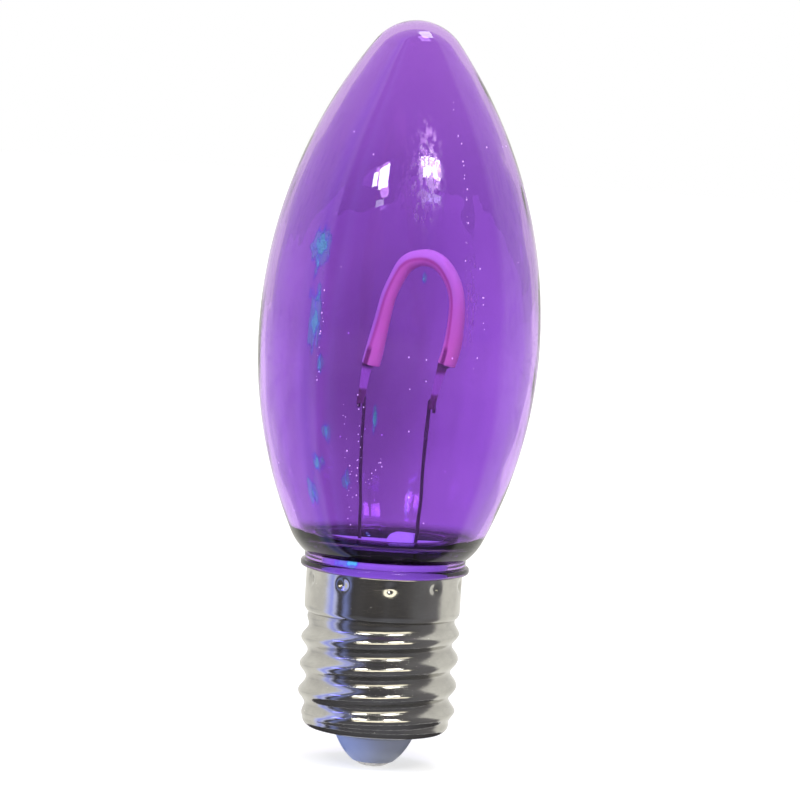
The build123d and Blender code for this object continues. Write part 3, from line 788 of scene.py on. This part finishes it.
def finish_piece(
    mesh: bmesh.types.BMesh,
    name: str,
    material: bpy.types.Material,
    nodes: tuple[str, ...],
    sharp: float = 40.0,
) -> bpy.types.Object:
    """Make a mesh in millimetres an object of the bulb, smooth but for its sharp edges.

    Args:
        mesh: The mesh, which is used up.
        name: The piece's name.
        material: Its material.
        nodes: The CAD nodes that it stands for.
        sharp: Edges bent by more than this many degrees stay sharp.

    Returns:
        The new object.
    """
    bmesh.ops.scale(mesh, vec=(MM, MM, MM), verts=mesh.verts)
    data = bpy.data.meshes.new(name)
    mesh.to_mesh(data)
    mesh.free()
    data.shade_smooth()
    data.set_sharp_from_angle(angle=math.radians(sharp))
    data.materials.append(material)
    piece = bpy.data.objects.new(name, data)
    bpy.context.scene.collection.objects.link(piece)
    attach(piece, "root")
    if nodes:
        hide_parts(*nodes)
    return piece


@dataclass
class Globe:
    """The blown globe: sides, tip, thick bottom shoulder, neck, flange and the skirt in the shell."""

    rim: float = 20.811
    wall: float = 0.9
    widest: float = 14.69
    widest_rise: float = 24.2
    lower_side: float = 48.5
    upper_side: float = 51.5
    tip: float = 5.45
    neck: float = 8.45
    neck_bore: float = 6.6
    flange: float = 8.85
    flange_thickness: float = 0.8
    flange_edge: float = 0.34
    skirt: float = 7.84
    skirt_depth: float = 3.6
    shoulder_rise: float = 3.6
    inner_shoulder_rise: float = 4.6
    ledge: float = 8.7
    ledge_rise: float = 3.5
    fillet: float = 0.15
    tip_edges: int = 22
    upper_edges: int = 44
    lower_edges: int = 36
    shoulder_edges: int = 20
    faces_round: int = 176
    wave: float = 0.035
    trails: tuple[tuple[float, float, float, float, int], ...] = (
        (-22.0, 38.5, -20.0, 27.0, 15),
        (-15.0, 40.0, -17.5, 29.0, 17),
        (-10.5, 31.0, -5.0, 33.8, 11),
        (27.0, 54.0, 28.0, 69.0, 20),
        (33.0, 44.0, 35.0, 52.0, 8),
        (-35.0, 41.0, -34.0, 50.0, 12),
    )
    trail_bow: float = 1.6
    trail_stray: float = 0.7
    trail_sizes: tuple[float, float] = (0.025, 0.055)
    bubble_depth: float = 0.35
    bubble_length: float = 1.5
    scattered: int = 44
    scattered_sizes: tuple[float, float] = (0.03, 0.085)
    scattered_rise: tuple[float, float] = (6.0, 42.0)

    def section(self) -> Lathe:
        """Draw the half section, from the tip's outside down and back up the inside.

        Returns:
            The lathe with the section drawn.
        """
        middle = self.rim + self.widest_rise
        reach = self.upper_side - self.widest
        tip_rise = math.sqrt((self.upper_side - self.tip) ** 2 - reach**2)
        tip_turn = math.degrees(math.atan2(tip_rise, reach))
        tip_centre = (0.0, middle + tip_rise)
        upper, lower = (-reach, middle), (self.widest - self.lower_side, middle)
        outer_turn = math.degrees(math.asin((self.widest_rise - self.shoulder_rise) / self.lower_side))
        inner_radius = self.lower_side - self.wall
        inner_turn = math.degrees(math.asin((self.widest_rise - self.inner_shoulder_rise) / inner_radius))
        lathe = Lathe(0.0, tip_centre[1] + self.tip)
        lathe.arc(tip_centre, tip_turn - 90.0, self.tip_edges)
        lathe.arc(upper, -tip_turn, self.upper_edges)
        lathe.arc(lower, -outer_turn, self.lower_edges)
        self.shoulder(lathe, -outer_turn, (self.neck, self.rim + 1.5))
        edge, top = self.flange_edge, self.rim + self.flange_thickness
        lathe.line(self.neck, top + self.fillet)
        lathe.arc((self.neck + self.fillet, top + self.fillet), 70.0, 4)
        lathe.line(self.flange - edge, top)
        lathe.arc((self.flange - edge, top - edge), -90.0, 8)
        lathe.line(self.flange, self.rim + edge)
        lathe.arc((self.flange - edge, self.rim + edge), -90.0, 8)
        lathe.line(self.skirt, self.rim)
        lathe.line(self.skirt, self.rim - self.skirt_depth, 4)
        lathe.line(self.neck_bore, self.rim - self.skirt_depth)
        lathe.line(self.neck_bore, self.rim + self.ledge_rise - self.fillet, 6)
        lathe.line(self.neck_bore + self.fillet, self.rim + self.ledge_rise)
        lathe.line(self.ledge, self.rim + self.ledge_rise)
        foot = (
            lower[0] + inner_radius * math.cos(math.radians(inner_turn)),
            middle - inner_radius * math.sin(math.radians(inner_turn)),
        )
        self.shoulder(lathe, 180.0 - inner_turn, foot, -1)
        lathe.arc(lower, inner_turn, self.lower_edges)
        lathe.arc(upper, tip_turn, self.upper_edges)
        lathe.arc(tip_centre, 90.0 - tip_turn, self.tip_edges)
        return lathe

    def shoulder(self, lathe: Lathe, heading: float, goal: tuple[float, float], side: int = 1) -> None:
        """Draw the arc that leaves the side along its tangent and ends at a point.

        Args:
            lathe: The lathe to draw on.
            heading: Turn of the side's radius where the arc starts or, inside, ends.
            goal: The arc's other end.
            side: 1 where the tangent is at the start, -1 where it is at the end.
        """
        start, end = Vector((lathe.tip.co.x, lathe.tip.co.z)), Vector(goal)
        joint, other = (start, end) if side > 0 else (end, start)
        turn = math.radians(heading)
        normal = Vector((math.cos(turn), math.sin(turn)))
        chord = other - joint
        radius = chord.length_squared / (2.0 * chord.dot(normal))
        centre = joint + normal * radius
        first, last = start - centre, end - centre
        sweep = math.degrees(math.atan2(first.x * last.y - first.y * last.x, first.dot(last)))
        lathe.arc((centre.x, centre.y), sweep, self.shoulder_edges)

    def ripple(self, mesh: bmesh.types.BMesh) -> None:
        """Move the inside in faint waves, as a blown wall has.

        Args:
            mesh: The turned globe.
        """
        foot = self.rim + self.ledge_rise + 0.5
        for vert in mesh.verts:
            flat = Vector((vert.co.x, vert.co.y, 0.0))
            if vert.co.z < foot or flat.length < 0.5 or vert.normal.dot(flat) > 0.0:
                continue
            place = Vector((vert.co.x * 0.5, vert.co.y * 0.5, vert.co.z * 0.16))
            fade = min(1.0, (vert.co.z - foot) / 4.0)
            vert.co += flat.normalized() * (noise.noise(place) * self.wave * fade)

    def put_bubble(self, mesh: bmesh.types.BMesh, turn: float, height: float, size: float) -> None:
        """Shut one tiny bubble in the wall.

        Args:
            mesh: The bubbles' mesh.
            turn: Its azimuth in degrees, from the viewer to the right.
            height: Its height.
            size: Its radius.
        """
        drop = height - self.rim - self.widest_rise
        side = self.lower_side if drop < 0.0 else self.upper_side
        middle = self.widest - side + math.sqrt(side**2 - drop**2) - self.wall * self.bubble_depth
        angle = math.radians(turn - 90.0)
        made = bmesh.ops.create_icosphere(mesh, subdivisions=1, radius=size)
        put = Matrix.Translation((middle * math.cos(angle), middle * math.sin(angle), height))
        put = put @ Matrix.Diagonal((1.0, 1.0, self.bubble_length, 1.0))
        bmesh.ops.transform(mesh, matrix=put, verts=made["verts"])

    def build_bubbles(self) -> bpy.types.Object:
        """Build and dress the trails of tiny bubbles in the wall, which glow a little as painted glints.

        Returns:
            The bubbles.
        """
        dice = random.Random(7)
        mesh = bmesh.new()
        for turn, height, last_turn, last_height, count in self.trails:
            for place in range(count):
                share = (place + dice.uniform(-1.2, 1.2)) / (count - 1)
                bow = math.sin(share * math.pi) * self.trail_bow
                where = turn + (last_turn - turn) * share + bow + dice.gauss(0.0, self.trail_stray)
                size = self.trail_sizes[0] + self.trail_sizes[1] * dice.random() ** 2
                self.put_bubble(mesh, where, height + (last_height - height) * share, size)
        for _ in range(self.scattered):
            height = self.rim + self.scattered_rise[0] + self.scattered_rise[1] * dice.random() ** 1.3
            self.put_bubble(mesh, dice.uniform(-180.0, 180.0), height, dice.uniform(*self.scattered_sizes))
        material = Moulding("glowing_bubble_glints", paint(250, 240, 255), paint(236, 226, 250), (0.1, 0.2)).make()
        # Painted glint: the bubbles glow, so that they show as bright specks.
        shader = material.node_tree.nodes["Principled BSDF"]
        shader.inputs["Emission Color"].default_value = paint(240, 228, 255)
        shader.inputs["Emission Strength"].default_value = 0.8
        return finish_piece(mesh, "wall_bubbles", material, ())

    def build(self) -> bpy.types.Object:
        """Build and dress the globe.

        Returns:
            The globe.
        """
        mesh = self.section().turn(self.faces_round)
        mesh.normal_update()
        self.ripple(mesh)
        return finish_piece(mesh, "globe_skin", TintedPlastic().make(), ("globe",))


@dataclass
class ScrewShell:
    """The rolled shell: bottom, knuckle thread, plain skirt and its ring of crimp dimples."""

    sheet: float = 0.28
    pitch: float = 2.82
    crest: float = 8.3
    root: float = 7.55
    groove: float = 7.7
    lip: float = 4.2
    lip_height: float = 3.35
    thread_foot: float = 4.9
    thread_length: float = 11.0
    first_crest_rise: float = 1.3
    skirt: float = 8.17
    skirt_shoulder: float = 16.811
    rim: float = 20.811
    corner: float = 0.95
    corner_turn: float = 76.0
    shoulder: float = 0.9
    dimples: int = 10
    dimple_ball: float = 0.55
    dimple_depth: float = 0.3
    dimple_reach: float = 1.9
    dimple_fall: float = 1.4
    dimple_drop: float = 1.05
    dimple_turn: float = -85.0
    segments: int = 220
    rings_per_turn: int = 22
    corner_rings: int = 10
    shoulder_rings: int = 8
    skirt_rings: int = 22

    def wall(self) -> RingTower:
        """Grow the shell's outside from the lip to the rim.

        Returns:
            The tower with all its rings.
        """
        tower = RingTower(self.segments, self.lip, self.lip_height)
        middle = self.groove - self.corner
        for step in range(self.corner_rings + 1):
            turn = math.radians(self.corner_turn * (step / self.corner_rings - 1))
            height = self.thread_foot + self.corner * math.sin(turn)
            tower.grow(middle + self.corner * math.cos(turn), height)
        count = round(self.thread_length / self.pitch * self.rings_per_turn)
        for ring in range(1, count + 1):
            rise = self.thread_length * ring / count
            left = self.thread_length - rise
            share = min(1.0, rise / self.pitch * 2.0, left / self.pitch * 2.0)
            turn = math.tau * (rise - self.first_crest_rise) / self.pitch
            reach = share * (self.crest - self.root) / 2.0
            radius = self.groove + share * ((self.crest + self.root) / 2.0 - self.groove)
            centre = (reach * math.cos(turn), reach * math.sin(turn))
            tower.grow(radius, self.thread_foot + rise, centre)
        widest_turn = math.acos(1.0 - (self.skirt - self.groove) / self.shoulder)
        for step in range(self.shoulder_rings + 1):
            turn = -widest_turn * (1.0 - step / self.shoulder_rings)
            height = self.skirt_shoulder + self.shoulder * math.sin(turn)
            tower.grow(self.skirt - self.shoulder + self.shoulder * math.cos(turn), height)
        for step in range(1, self.skirt_rings + 1):
            rise = (self.rim - self.skirt_shoulder) * step / self.skirt_rings
            tower.grow(self.skirt, self.skirt_shoulder + rise)
        return tower

    def press_dimples(self, mesh: bmesh.types.BMesh) -> None:
        """Push the wall in where the crimping tool struck it.

        Args:
            mesh: The shell's outside.
        """
        level = self.rim - self.dimple_drop
        for place in range(self.dimples):
            turn = math.radians(self.dimple_turn + 360.0 * place / self.dimples)
            centre = Vector((self.skirt * math.cos(turn), self.skirt * math.sin(turn), level))
            for vert in mesh.verts:
                gap = (vert.co - centre).length
                if gap < self.dimple_ball * self.dimple_reach:
                    fall = math.exp(-((gap / self.dimple_ball) ** 2) * self.dimple_fall)
                    depth = self.dimple_depth * fall
                    vert.co -= Vector((math.cos(turn), math.sin(turn), 0.0)) * depth

    def build(self) -> bpy.types.Object:
        """Build and dress the shell.

        Returns:
            The shell.
        """
        mesh = self.wall().mesh
        self.press_dimples(mesh)
        bmesh.ops.recalc_face_normals(mesh, faces=mesh.faces)
        outer = max(mesh.faces, key=lambda face: face.calc_center_median().xy.length)
        if outer.normal.dot(outer.calc_center_median().xy.to_3d()) < 0.0:
            bmesh.ops.reverse_faces(mesh, faces=mesh.faces)
        piece = finish_piece(mesh, "shell_skin", NickelPlate().make(), ("screw_shell",))
        wall = piece.modifiers.new("sheet", "SOLIDIFY")
        wall.thickness = self.sheet * MM
        wall.offset = -1.0
        wall.use_even_offset = False
        return piece


@dataclass
class BaseTip:
    """The white insulator cone and the contact rivet under it."""

    seat: float = 2.25
    neck: float = 4.15
    flange: float = 6.4
    top: float = 5.18
    head: float = 1.9
    head_height: float = 0.6
    shank: float = 0.85
    shank_gap: float = 0.05
    head_bevel: float = 0.05
    flare: float = 0.35
    flare_rise: float = 0.7
    bore: float = 0.35
    bore_floor: float = 1.2

    def build_insulator(self) -> bpy.types.Object:
        """Build and dress the cone.

        Returns:
            The cone.
        """
        hole = self.shank + self.shank_gap
        lathe = Lathe(hole, self.head_height)
        lathe.line(self.seat - 0.1, self.head_height, 3)
        lathe.arc((self.seat - 0.1, self.head_height + 0.1), 60.0, 4)
        lathe.curve((3.35, 1.55), (self.neck, 3.35), 14)
        lathe.line(self.neck, 3.68)
        lathe.line(self.flange, 4.09, 2)
        lathe.line(self.flange, self.top)
        lathe.line(hole, self.top, 3)
        lathe.line(hole, self.head_height, 2)
        mesh = lathe.turn(128)
        # Painted shade and painted blue light: the white plastic is coloured a darker blue-grey.
        finish = Moulding("white_moulding_painted_shade", paint(180, 185, 202), paint(166, 173, 194))
        return finish_piece(mesh, "insulator_skin", finish.make(), ("base_insulator",), 30.0)

    def build_contact(self) -> bpy.types.Object:
        """Build and dress the rivet.

        Returns:
            The rivet.
        """
        lathe = Lathe(0.0, 0.0)
        lathe.line(0.4, 0.0, 2)
        lathe.curve((1.45, 0.02), (self.head, self.head_height - self.head_bevel), 12)
        lathe.line(self.head - self.head_bevel, self.head_height)
        lathe.line(self.shank, self.head_height)
        lathe.line(self.shank, self.top, 3)
        lathe.line(self.shank + self.flare, self.top)
        lathe.line(self.shank, self.top + self.flare_rise)
        lathe.line(self.bore, self.top + self.flare_rise)
        lathe.line(self.bore, self.bore_floor)
        lathe.line(0.0, self.bore_floor)
        lathe.line(0.0, 0.0)
        mesh = lathe.turn(96)
        finish = DrawnMetal("tinned_rivet", paint(206, 204, 202), paint(168, 165, 164), (0.2, 0.38))
        return finish_piece(mesh, "contact_skin", finish.make(), ("centre_contact",), 35.0)


@dataclass
class Filament:
    """The silicone U and the two wires with their hooks; the U's L-shaped ends with their ribbons keep their
    CAD form.
    """

    floor: float = 23.011
    foot: tuple[float, float] = (-2.99, 42.071)
    lean: float = 78.0
    leg: float = 6.59
    arcs: tuple[tuple[float, float], ...] = ((12.3, 18.6), (2.82, 108.7), (6.56, 39.0), (19.3, 17.5))
    thickness: float = 1.76
    twist: float = 0.0145
    seam_shift: float = 0.012
    wire: float = 0.36
    wire_middle: float = 0.1
    wire_spacing: float = 6.2
    splay: float = 0.55
    rise: float = 15.9
    tail: float = 5.2
    hook_width: float = 0.48
    hook_drop: float = 1.3

    def build_coating(self) -> bpy.types.Object:
        """Build and dress the silicone U.

        Returns:
            The U.
        """
        bar = BentBar(self.foot, self.lean, 32, self.thickness)
        bar.run(self.leg, 16)
        for radius, turn in self.arcs:
            bar.bend(radius, -turn, max(10, round(turn / 3.0)))
        for vert in bar.mesh.verts:
            seam = vert[bar.around] - self.seam_shift + vert.co.x * self.twist
            vert[bar.around] = (seam + 0.5) % 1.0 - 0.5
        mesh = bar.close(0.12)
        return finish_piece(mesh, "silicone_u", Silicone().make(), ("filament_coating",), 50.0)

    def build_wire(self, side: int) -> bpy.types.Object:
        """Build and dress one wire.

        Args:
            side: -1 for the left one, 1 for the right one.

        Returns:
            The wire.
        """
        name = "left" if side < 0 else "right"
        across = self.wire_middle + side * self.wire_spacing / 2.0
        hook = across + side * self.splay
        top = self.floor + self.rise
        bar = BentBar((across, self.floor - self.tail), 90.0, 16, self.wire)
        corners = [
            (across, self.floor + 0.8),
            (hook, top),
            (hook + side * self.hook_width, top),
            (hook + side * self.hook_width, top - self.hook_drop),
        ]
        bar.follow(corners, [3.0, 0.22, 0.22])
        finish = DrawnMetal(f"drawn_wire_{name}", paint(118, 104, 112), paint(84, 72, 80))
        mesh = bar.close(0.05)
        return finish_piece(mesh, f"wire_{name}", finish.make(), (f"support_wire_{name}",))

    def build(self) -> list[bpy.types.Object]:
        """Build every piece of the filament that the scene makes itself.

        Returns:
            The pieces.
        """
        return [self.build_coating(), self.build_wire(-1), self.build_wire(1)]


@dataclass
class Inside:
    """What keeps its CAD form in the globe and the shell: plug, clips, leads, filament and driver."""

    outfits: tuple[tuple[Finish, tuple[str, ...]], ...] = (
        # Painted blue light: the white plug and board take a blue cast.
        (Moulding("pale_moulding_painted_blue", paint(214, 216, 255), paint(200, 200, 250)), ("stem_plug",)),
        (Moulding("white_board_painted_blue", paint(220, 222, 255), paint(208, 208, 250), (0.25, 0.4)), ("driver_board",)),
        # The clips are coloured a dark purple.
        (
            Moulding("dark_purple_strip", paint(52, 34, 60), paint(38, 26, 46), (0.4, 0.6)),
            ("retaining_clip_left", "retaining_clip_right"),
        ),
        (DrawnMetal("tinned_wire", paint(196, 186, 172), paint(160, 150, 138)), ("shell_lead",)),
        (LeadStrip(), ("filament_terminal_left", "filament_terminal_right")),
        (DrawnMetal("carrier_strip", paint(150, 146, 142), paint(110, 106, 104)), ("filament_strip",)),
        (Moulding("light_chips", paint(240, 228, 160), paint(225, 205, 130), (0.2, 0.35)), ("led_chips",)),
        (
            Moulding("black_moulding", paint(38, 38, 40), paint(28, 28, 30), (0.4, 0.6)),
            ("bridge_rectifier", "driver_chip"),
        ),
        (
            Moulding("dark_sleeve", paint(46, 46, 62), paint(36, 36, 52), (0.25, 0.4)),
            ("smoothing_capacitor",),
        ),
        (
            Moulding("lacquered_body", paint(120, 158, 146), paint(100, 140, 130), (0.3, 0.5)),
            ("fuse_resistor",),
        ),
        (Moulding("chip_resistor", paint(44, 44, 48), paint(34, 34, 38), (0.35, 0.5)), ("sense_resistors",)),
        (DrawnMetal("solder", paint(196, 196, 200), paint(160, 160, 166), (0.15, 0.35)), ("solder_joints",)),
    )

    def dress(self) -> None:
        """Give every one of these CAD nodes its finish."""
        for finish, names in self.outfits:
            material = finish.make()
            for name in names:
                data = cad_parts[name].data
                if not data.materials:
                    data.materials.append(material)
                for place in range(len(data.materials)):
                    data.materials[place] = material
                log.info("dressed %s", name)


@dataclass(frozen=True)
class Ring:
    """A card bent round the bulb, seen only in mirrors: its half section and its shades by azimuth."""

    name: str
    profile: tuple[tuple[float, float], ...]
    shades: tuple[tuple[float, Colour], ...]
    mottle: float = 0.4
    smudge: Colour = (0.3, 0.31, 0.36, 1.0)
    faces_round: int = 72


@dataclass
class Studio:
    """Floor, backdrop, lamps and camera."""

    distance: float = 0.400
    elevation: float = 4.5
    roll: float = 3.65
    lens: float = 172.5
    aim: float = 0.039
    shift_right: float = 0.00046
    shift_up: float = -0.00040
    sky_light: float = 0.4
    floor_radius: float = 3.0
    floor_gap: float = 0.00002
    veil_black: Colour = (0.04, 0.02, 0.0, 1.0)

    def ray_share(self, recipe: Recipe) -> Socket:
        """One where a ray comes from the camera, a mirror or clear plastic, zero elsewhere.

        Args:
            recipe: The material's recipe.

        Returns:
            The share.
        """
        rays = recipe.node("ShaderNodeLightPath")
        seen = recipe.math("MAXIMUM", rays.outputs["Is Camera Ray"], rays.outputs["Is Glossy Ray"])
        return recipe.math("MAXIMUM", seen, rays.outputs["Is Transmission Ray"])

    def set_world(self) -> None:
        """Set a white backdrop for the camera and a lower even light for the object."""
        world = bpy.data.worlds.new("backdrop")
        bpy.context.scene.world = world
        world.use_nodes = True
        tree = world.node_tree
        light = tree.nodes["Background"]
        light.inputs["Color"].default_value = WHITE
        rays = tree.nodes.new("ShaderNodeLightPath")
        seen = rays.outputs["Is Camera Ray"]
        for kind in ("Is Glossy Ray", "Is Transmission Ray"):
            either = tree.nodes.new("ShaderNodeMath")
            either.operation = "MAXIMUM"
            tree.links.new(seen, either.inputs[0])
            tree.links.new(rays.outputs[kind], either.inputs[1])
            seen = either.outputs[0]
        level = tree.nodes.new("ShaderNodeMapRange")
        level.inputs["To Min"].default_value = self.sky_light
        tree.links.new(seen, level.inputs["Value"])
        tree.links.new(level.outputs["Result"], light.inputs["Strength"])

    def stand(self, name: str, mesh: bmesh.types.BMesh, recipe: Recipe, unseen: tuple[str, ...] = ()) -> None:
        """Stand a piece of the studio in the scene.

        Args:
            name: Its name.
            mesh: Its mesh, which is used up.
            recipe: Its material's recipe.
            unseen: The kinds of ray that don't see it.
        """
        data = bpy.data.meshes.new(name)
        mesh.to_mesh(data)
        mesh.free()
        data.materials.append(recipe.material)
        stood = bpy.data.objects.new(name, data)
        bpy.context.scene.collection.objects.link(stood)
        for kind in unseen:
            setattr(stood, "visible_" + kind, False)

    def lay_floor(self) -> None:
        """Lay a plain pale floor that keeps a soft shadow."""
        mesh = bmesh.new()
        bmesh.ops.create_circle(mesh, cap_ends=True, segments=96, radius=self.floor_radius)
        bmesh.ops.translate(mesh, verts=mesh.verts, vec=(0.0, 0.0, -self.floor_gap))
        recipe = Recipe("pale_floor")
        plain = recipe.node("ShaderNodeBsdfDiffuse")
        plain.inputs["Color"].default_value = (0.5, 0.5, 0.5, 1.0)
        glow = recipe.node("ShaderNodeEmission")
        level = recipe.spread(recipe.off_axis(), 0.66, 1.0, 0.03, 0.35)
        recipe.link(recipe.math("MULTIPLY", self.ray_share(recipe), level), glow.inputs["Strength"])
        both = recipe.node("ShaderNodeAddShader")
        recipe.link(plain.outputs[0], both.inputs[0])
        recipe.link(glow.outputs[0], both.inputs[1])
        recipe.show(both)
        self.stand("floor", mesh, recipe)

    def hang_ring(self, ring: Ring) -> None:
        """Hang a ring.

        Args:
            ring: What it is.
        """
        lathe = Lathe(*ring.profile[0])
        for reach, height in ring.profile[1:]:
            lathe.line(reach, height)
        mesh = lathe.turn(ring.faces_round)
        recipe = Recipe(ring.name)
        glow = recipe.node("ShaderNodeEmission")
        shades = recipe.node("ShaderNodeValToRGB")
        recipe.link(recipe.spread(recipe.azimuth(), 0.0, 1.0, -math.pi, math.pi), shades.inputs["Fac"])
        ramp = shades.color_ramp
        for place, (turn, shade) in enumerate(ring.shades):
            stop = ramp.elements[place] if place < 1 else ramp.elements.new(turn / 360.0 + 0.5)
            stop.position = turn / 360.0 + 0.5
            stop.color = shade
        last = max(ramp.elements, key=lambda stop: stop.position)
        last.color = ring.shades[-1][1]
        patches = recipe.spread(recipe.grain(14.0, 3.0), 0.0, ring.mottle, 0.5, 0.66)
        recipe.link(recipe.blend(patches, shades.outputs["Color"], ring.smudge), glow.inputs["Color"])
        recipe.show(glow)
        self.stand(ring.name, mesh, recipe, ("camera", "diffuse", "shadow", "transmission"))

    def hang_veil(self, middle: Point, reach: tuple[float, float], shade: float) -> None:
        """Hang a soft grey veil behind the bulb, seen only through clear plastic.

        Args:
            middle: Its middle in metres.
            reach: Half its width and height in metres.
            shade: How much light it leaves in its middle.
        """
        mesh = bmesh.new()
        bmesh.ops.create_grid(mesh, x_segments=1, y_segments=1, size=1.0)
        bmesh.ops.scale(mesh, verts=mesh.verts, vec=(reach[0], reach[1], 1.0))
        bmesh.ops.rotate(mesh, verts=mesh.verts, matrix=Matrix.Rotation(math.pi / 2.0, 3, "X"))
        bmesh.ops.translate(mesh, verts=mesh.verts, vec=middle)
        recipe = Recipe("veil")
        gap = recipe.length(recipe.place, (1.0 / reach[0], 0.0, 1.0 / reach[1]), middle)
        clear = recipe.node("ShaderNodeMapRange", interpolation_type="SMOOTHSTEP")
        clear.inputs["To Min"].default_value = shade
        recipe.link(gap, clear.inputs["Value"])
        passing = recipe.node("ShaderNodeBsdfTransparent")
        recipe.link(recipe.blend(clear.outputs["Result"], self.veil_black, WHITE), passing.inputs["Color"])
        recipe.show(passing)
        self.stand("veil", mesh, recipe, ("camera", "diffuse", "shadow", "glossy"))

    def hang_lamp(
        self,
        name: str,
        azimuth: float,
        elevation: float,
        distance: float,
        size: tuple[float, float],
        power: float,
        tint: Point = (1.0, 1.0, 1.0),
        roll: float = 0.0,
        mirrored: bool = True,
        only: str = "",
    ) -> None:
        """Hang a soft lamp that faces the bulb.

        Args:
            name: The lamp's name.
            azimuth: Degrees from the viewer, to the right.
            elevation: Degrees above the bulb's middle.
            distance: Metres from the bulb's middle.
            size: Width and height in metres.
            power: Watts.
            tint: Its colour.
            roll: Degrees that it is turned in its own plane.
            mirrored: Whether it shows in mirrors and gloss.
            only: The one piece that it lights, or nothing for all.
        """
        data = bpy.data.lights.new(name, "AREA")
        data.shape = "RECTANGLE"
        data.size, data.size_y = size
        data.energy = power
        data.color = tint
        lamp = bpy.data.objects.new(name, data)
        turn, rise = math.radians(azimuth), math.radians(elevation)
        out = Vector((math.sin(turn) * math.cos(rise), -math.cos(turn) * math.cos(rise), math.sin(rise)))
        lamp.location = Vector((0.0, 0.0, self.aim)) + out * distance
        lamp.rotation_mode = "QUATERNION"
        spin = Matrix.Rotation(math.radians(roll), 3, "Z").to_quaternion()
        lamp.rotation_quaternion = out.to_track_quat("Z", "Y") @ spin
        lamp.visible_camera = False
        lamp.visible_glossy = mirrored
        lamp.visible_transmission = mirrored
        if only:
            lit = bpy.data.collections.new(name + "_lights")
            lit.objects.link(bpy.data.objects[only])
            lamp.light_linking.receiver_collection = lit
        bpy.context.scene.collection.objects.link(lamp)

    def set_lamps(self) -> None:
        """Hang the lamps."""
        pale, warm = (0.8, 0.82, 1.0), (1.0, 0.97, 0.9)
        self.hang_lamp("left_pane", -28.2, 36.9, 1.0, (0.145, 0.088), 1.2, warm, roll=14.0)
        self.hang_lamp("left_edge_pane", -37.6, 35.4, 1.0, (0.072, 0.060), 0.38, warm, roll=14.0)
        self.hang_lamp("left_low_pane", -28.0, 30.6, 1.0, (0.13, 0.03), 0.09, pale, roll=10.0)
        self.hang_lamp("right_pane", 24.0, 40.2, 1.0, (0.32, 0.092), 2.5, warm, roll=-6.0)
        self.hang_lamp("right_low_pane", 24.0, 32.6, 1.0, (0.30, 0.036), 0.2, pale, roll=-6.0)
        self.hang_lamp("overhead", 120.0, 78.0, 0.9, (0.28, 0.28), 2.6, pale)
        gold = (1.0, 0.93, 0.74)
        self.hang_lamp("shell_sill", 6.0, 12.0, 1.0, (1.7, 0.38), 4.6, gold, only="shell_skin")
        violet, azure = (0.2, 0.2, 1.0), (0.12, 0.3, 1.0)
        self.hang_lamp("shell_blue", -68.0, 24.0, 1.0, (0.3, 0.2), 0.6, violet, only="shell_skin")
        lit = "insulator_skin"
        self.hang_lamp("tip_blue", -62.0, 4.0, 0.6, (0.2, 0.2), 1.8, azure, mirrored=False, only=lit)
        self.hang_lamp("front_fill", -6.0, 40.0, 1.0, (0.7, 0.5), 6.0, mirrored=False)
        self.hang_lamp("blue_side", -78.0, 2.0, 0.9, (0.3, 0.5), 4.6, (0.32, 0.45, 1.0), mirrored=False)

    def set_camera(self) -> None:
        """Place the camera as the photograph was taken."""
        data = bpy.data.cameras.new("camera")
        data.lens = self.lens
        data.sensor_width = 36.0
        data.clip_start = 0.01
        camera = bpy.data.objects.new("camera", data)
        rise = math.radians(self.elevation)
        back = Vector((0.0, -math.cos(rise), math.sin(rise)))
        turn = (-back).to_track_quat("-Z", "Y").to_matrix() @ Matrix.Rotation(math.radians(self.roll), 3, "Z")
        place = Vector((0.0, 0.0, self.aim)) + back * self.distance
        place += turn @ Vector((self.shift_right, self.shift_up, 0.0))
        camera.matrix_world = Matrix.Translation(place) @ turn.to_4x4()
        bpy.context.scene.collection.objects.link(camera)
        bpy.context.scene.camera = camera

    def build(self) -> None:
        """Build the whole studio."""
        bpy.context.scene.view_settings.view_transform = "Standard"
        self.set_world()
        self.lay_floor()
        dark, dim = (0.08, 0.076, 0.08, 1.0), (0.15, 0.145, 0.15, 1.0)
        cream, blue, sky = paint(255, 253, 246), (0.5, 0.57, 1.5, 1.0), (0.95, 1.0, 1.5, 1.0)
        room = (
            (-180.0, cream),
            (-93.0, cream),
            (-87.0, sky),
            (-78.0, blue),
            (-71.0, sky),
            (-66.0, dark),
            (-61.0, dark),
            (-55.0, (0.3, 0.36, 0.8, 1.0)),
            (-45.0, dark),
            (30.0, dark),
            (50.0, dim),
            (88.0, (0.24, 0.23, 0.24, 1.0)),
            (97.0, cream),
            (179.9, cream),
        )
        walls = ((0.0126, 0.0003), (1.4, 0.0003), (1.4, 1.2), (0.02, 1.6))
        self.hang_ring(Ring("room", walls, room))
        under = ((-180.0, dark), (179.9, dark))
        self.hang_ring(Ring("under", ((0.004, 0.0002), (0.0125, 0.0002)), under))
        self.hang_veil((-0.0045, 0.06, 0.034), (0.020, 0.038), 0.44)
        self.set_lamps()
        self.set_camera()


def main() -> None:
    """Build the bulb's looks in order, from the outside in, then the studio."""
    logging.basicConfig(level=logging.INFO, format="%(message)s")
    globe = Globe()
    log.info("built %s", globe.build().name)
    log.info("built %s", globe.build_bubbles().name)
    log.info("built %s", ScrewShell().build().name)
    tip = BaseTip()
    log.info("built %s", tip.build_insulator().name)
    log.info("built %s", tip.build_contact().name)
    for piece in Filament().build():
        log.info("built %s", piece.name)
    Inside().dress()
    Studio().build()
    log.info("built the studio")


if __name__ == "__main__":
    main()
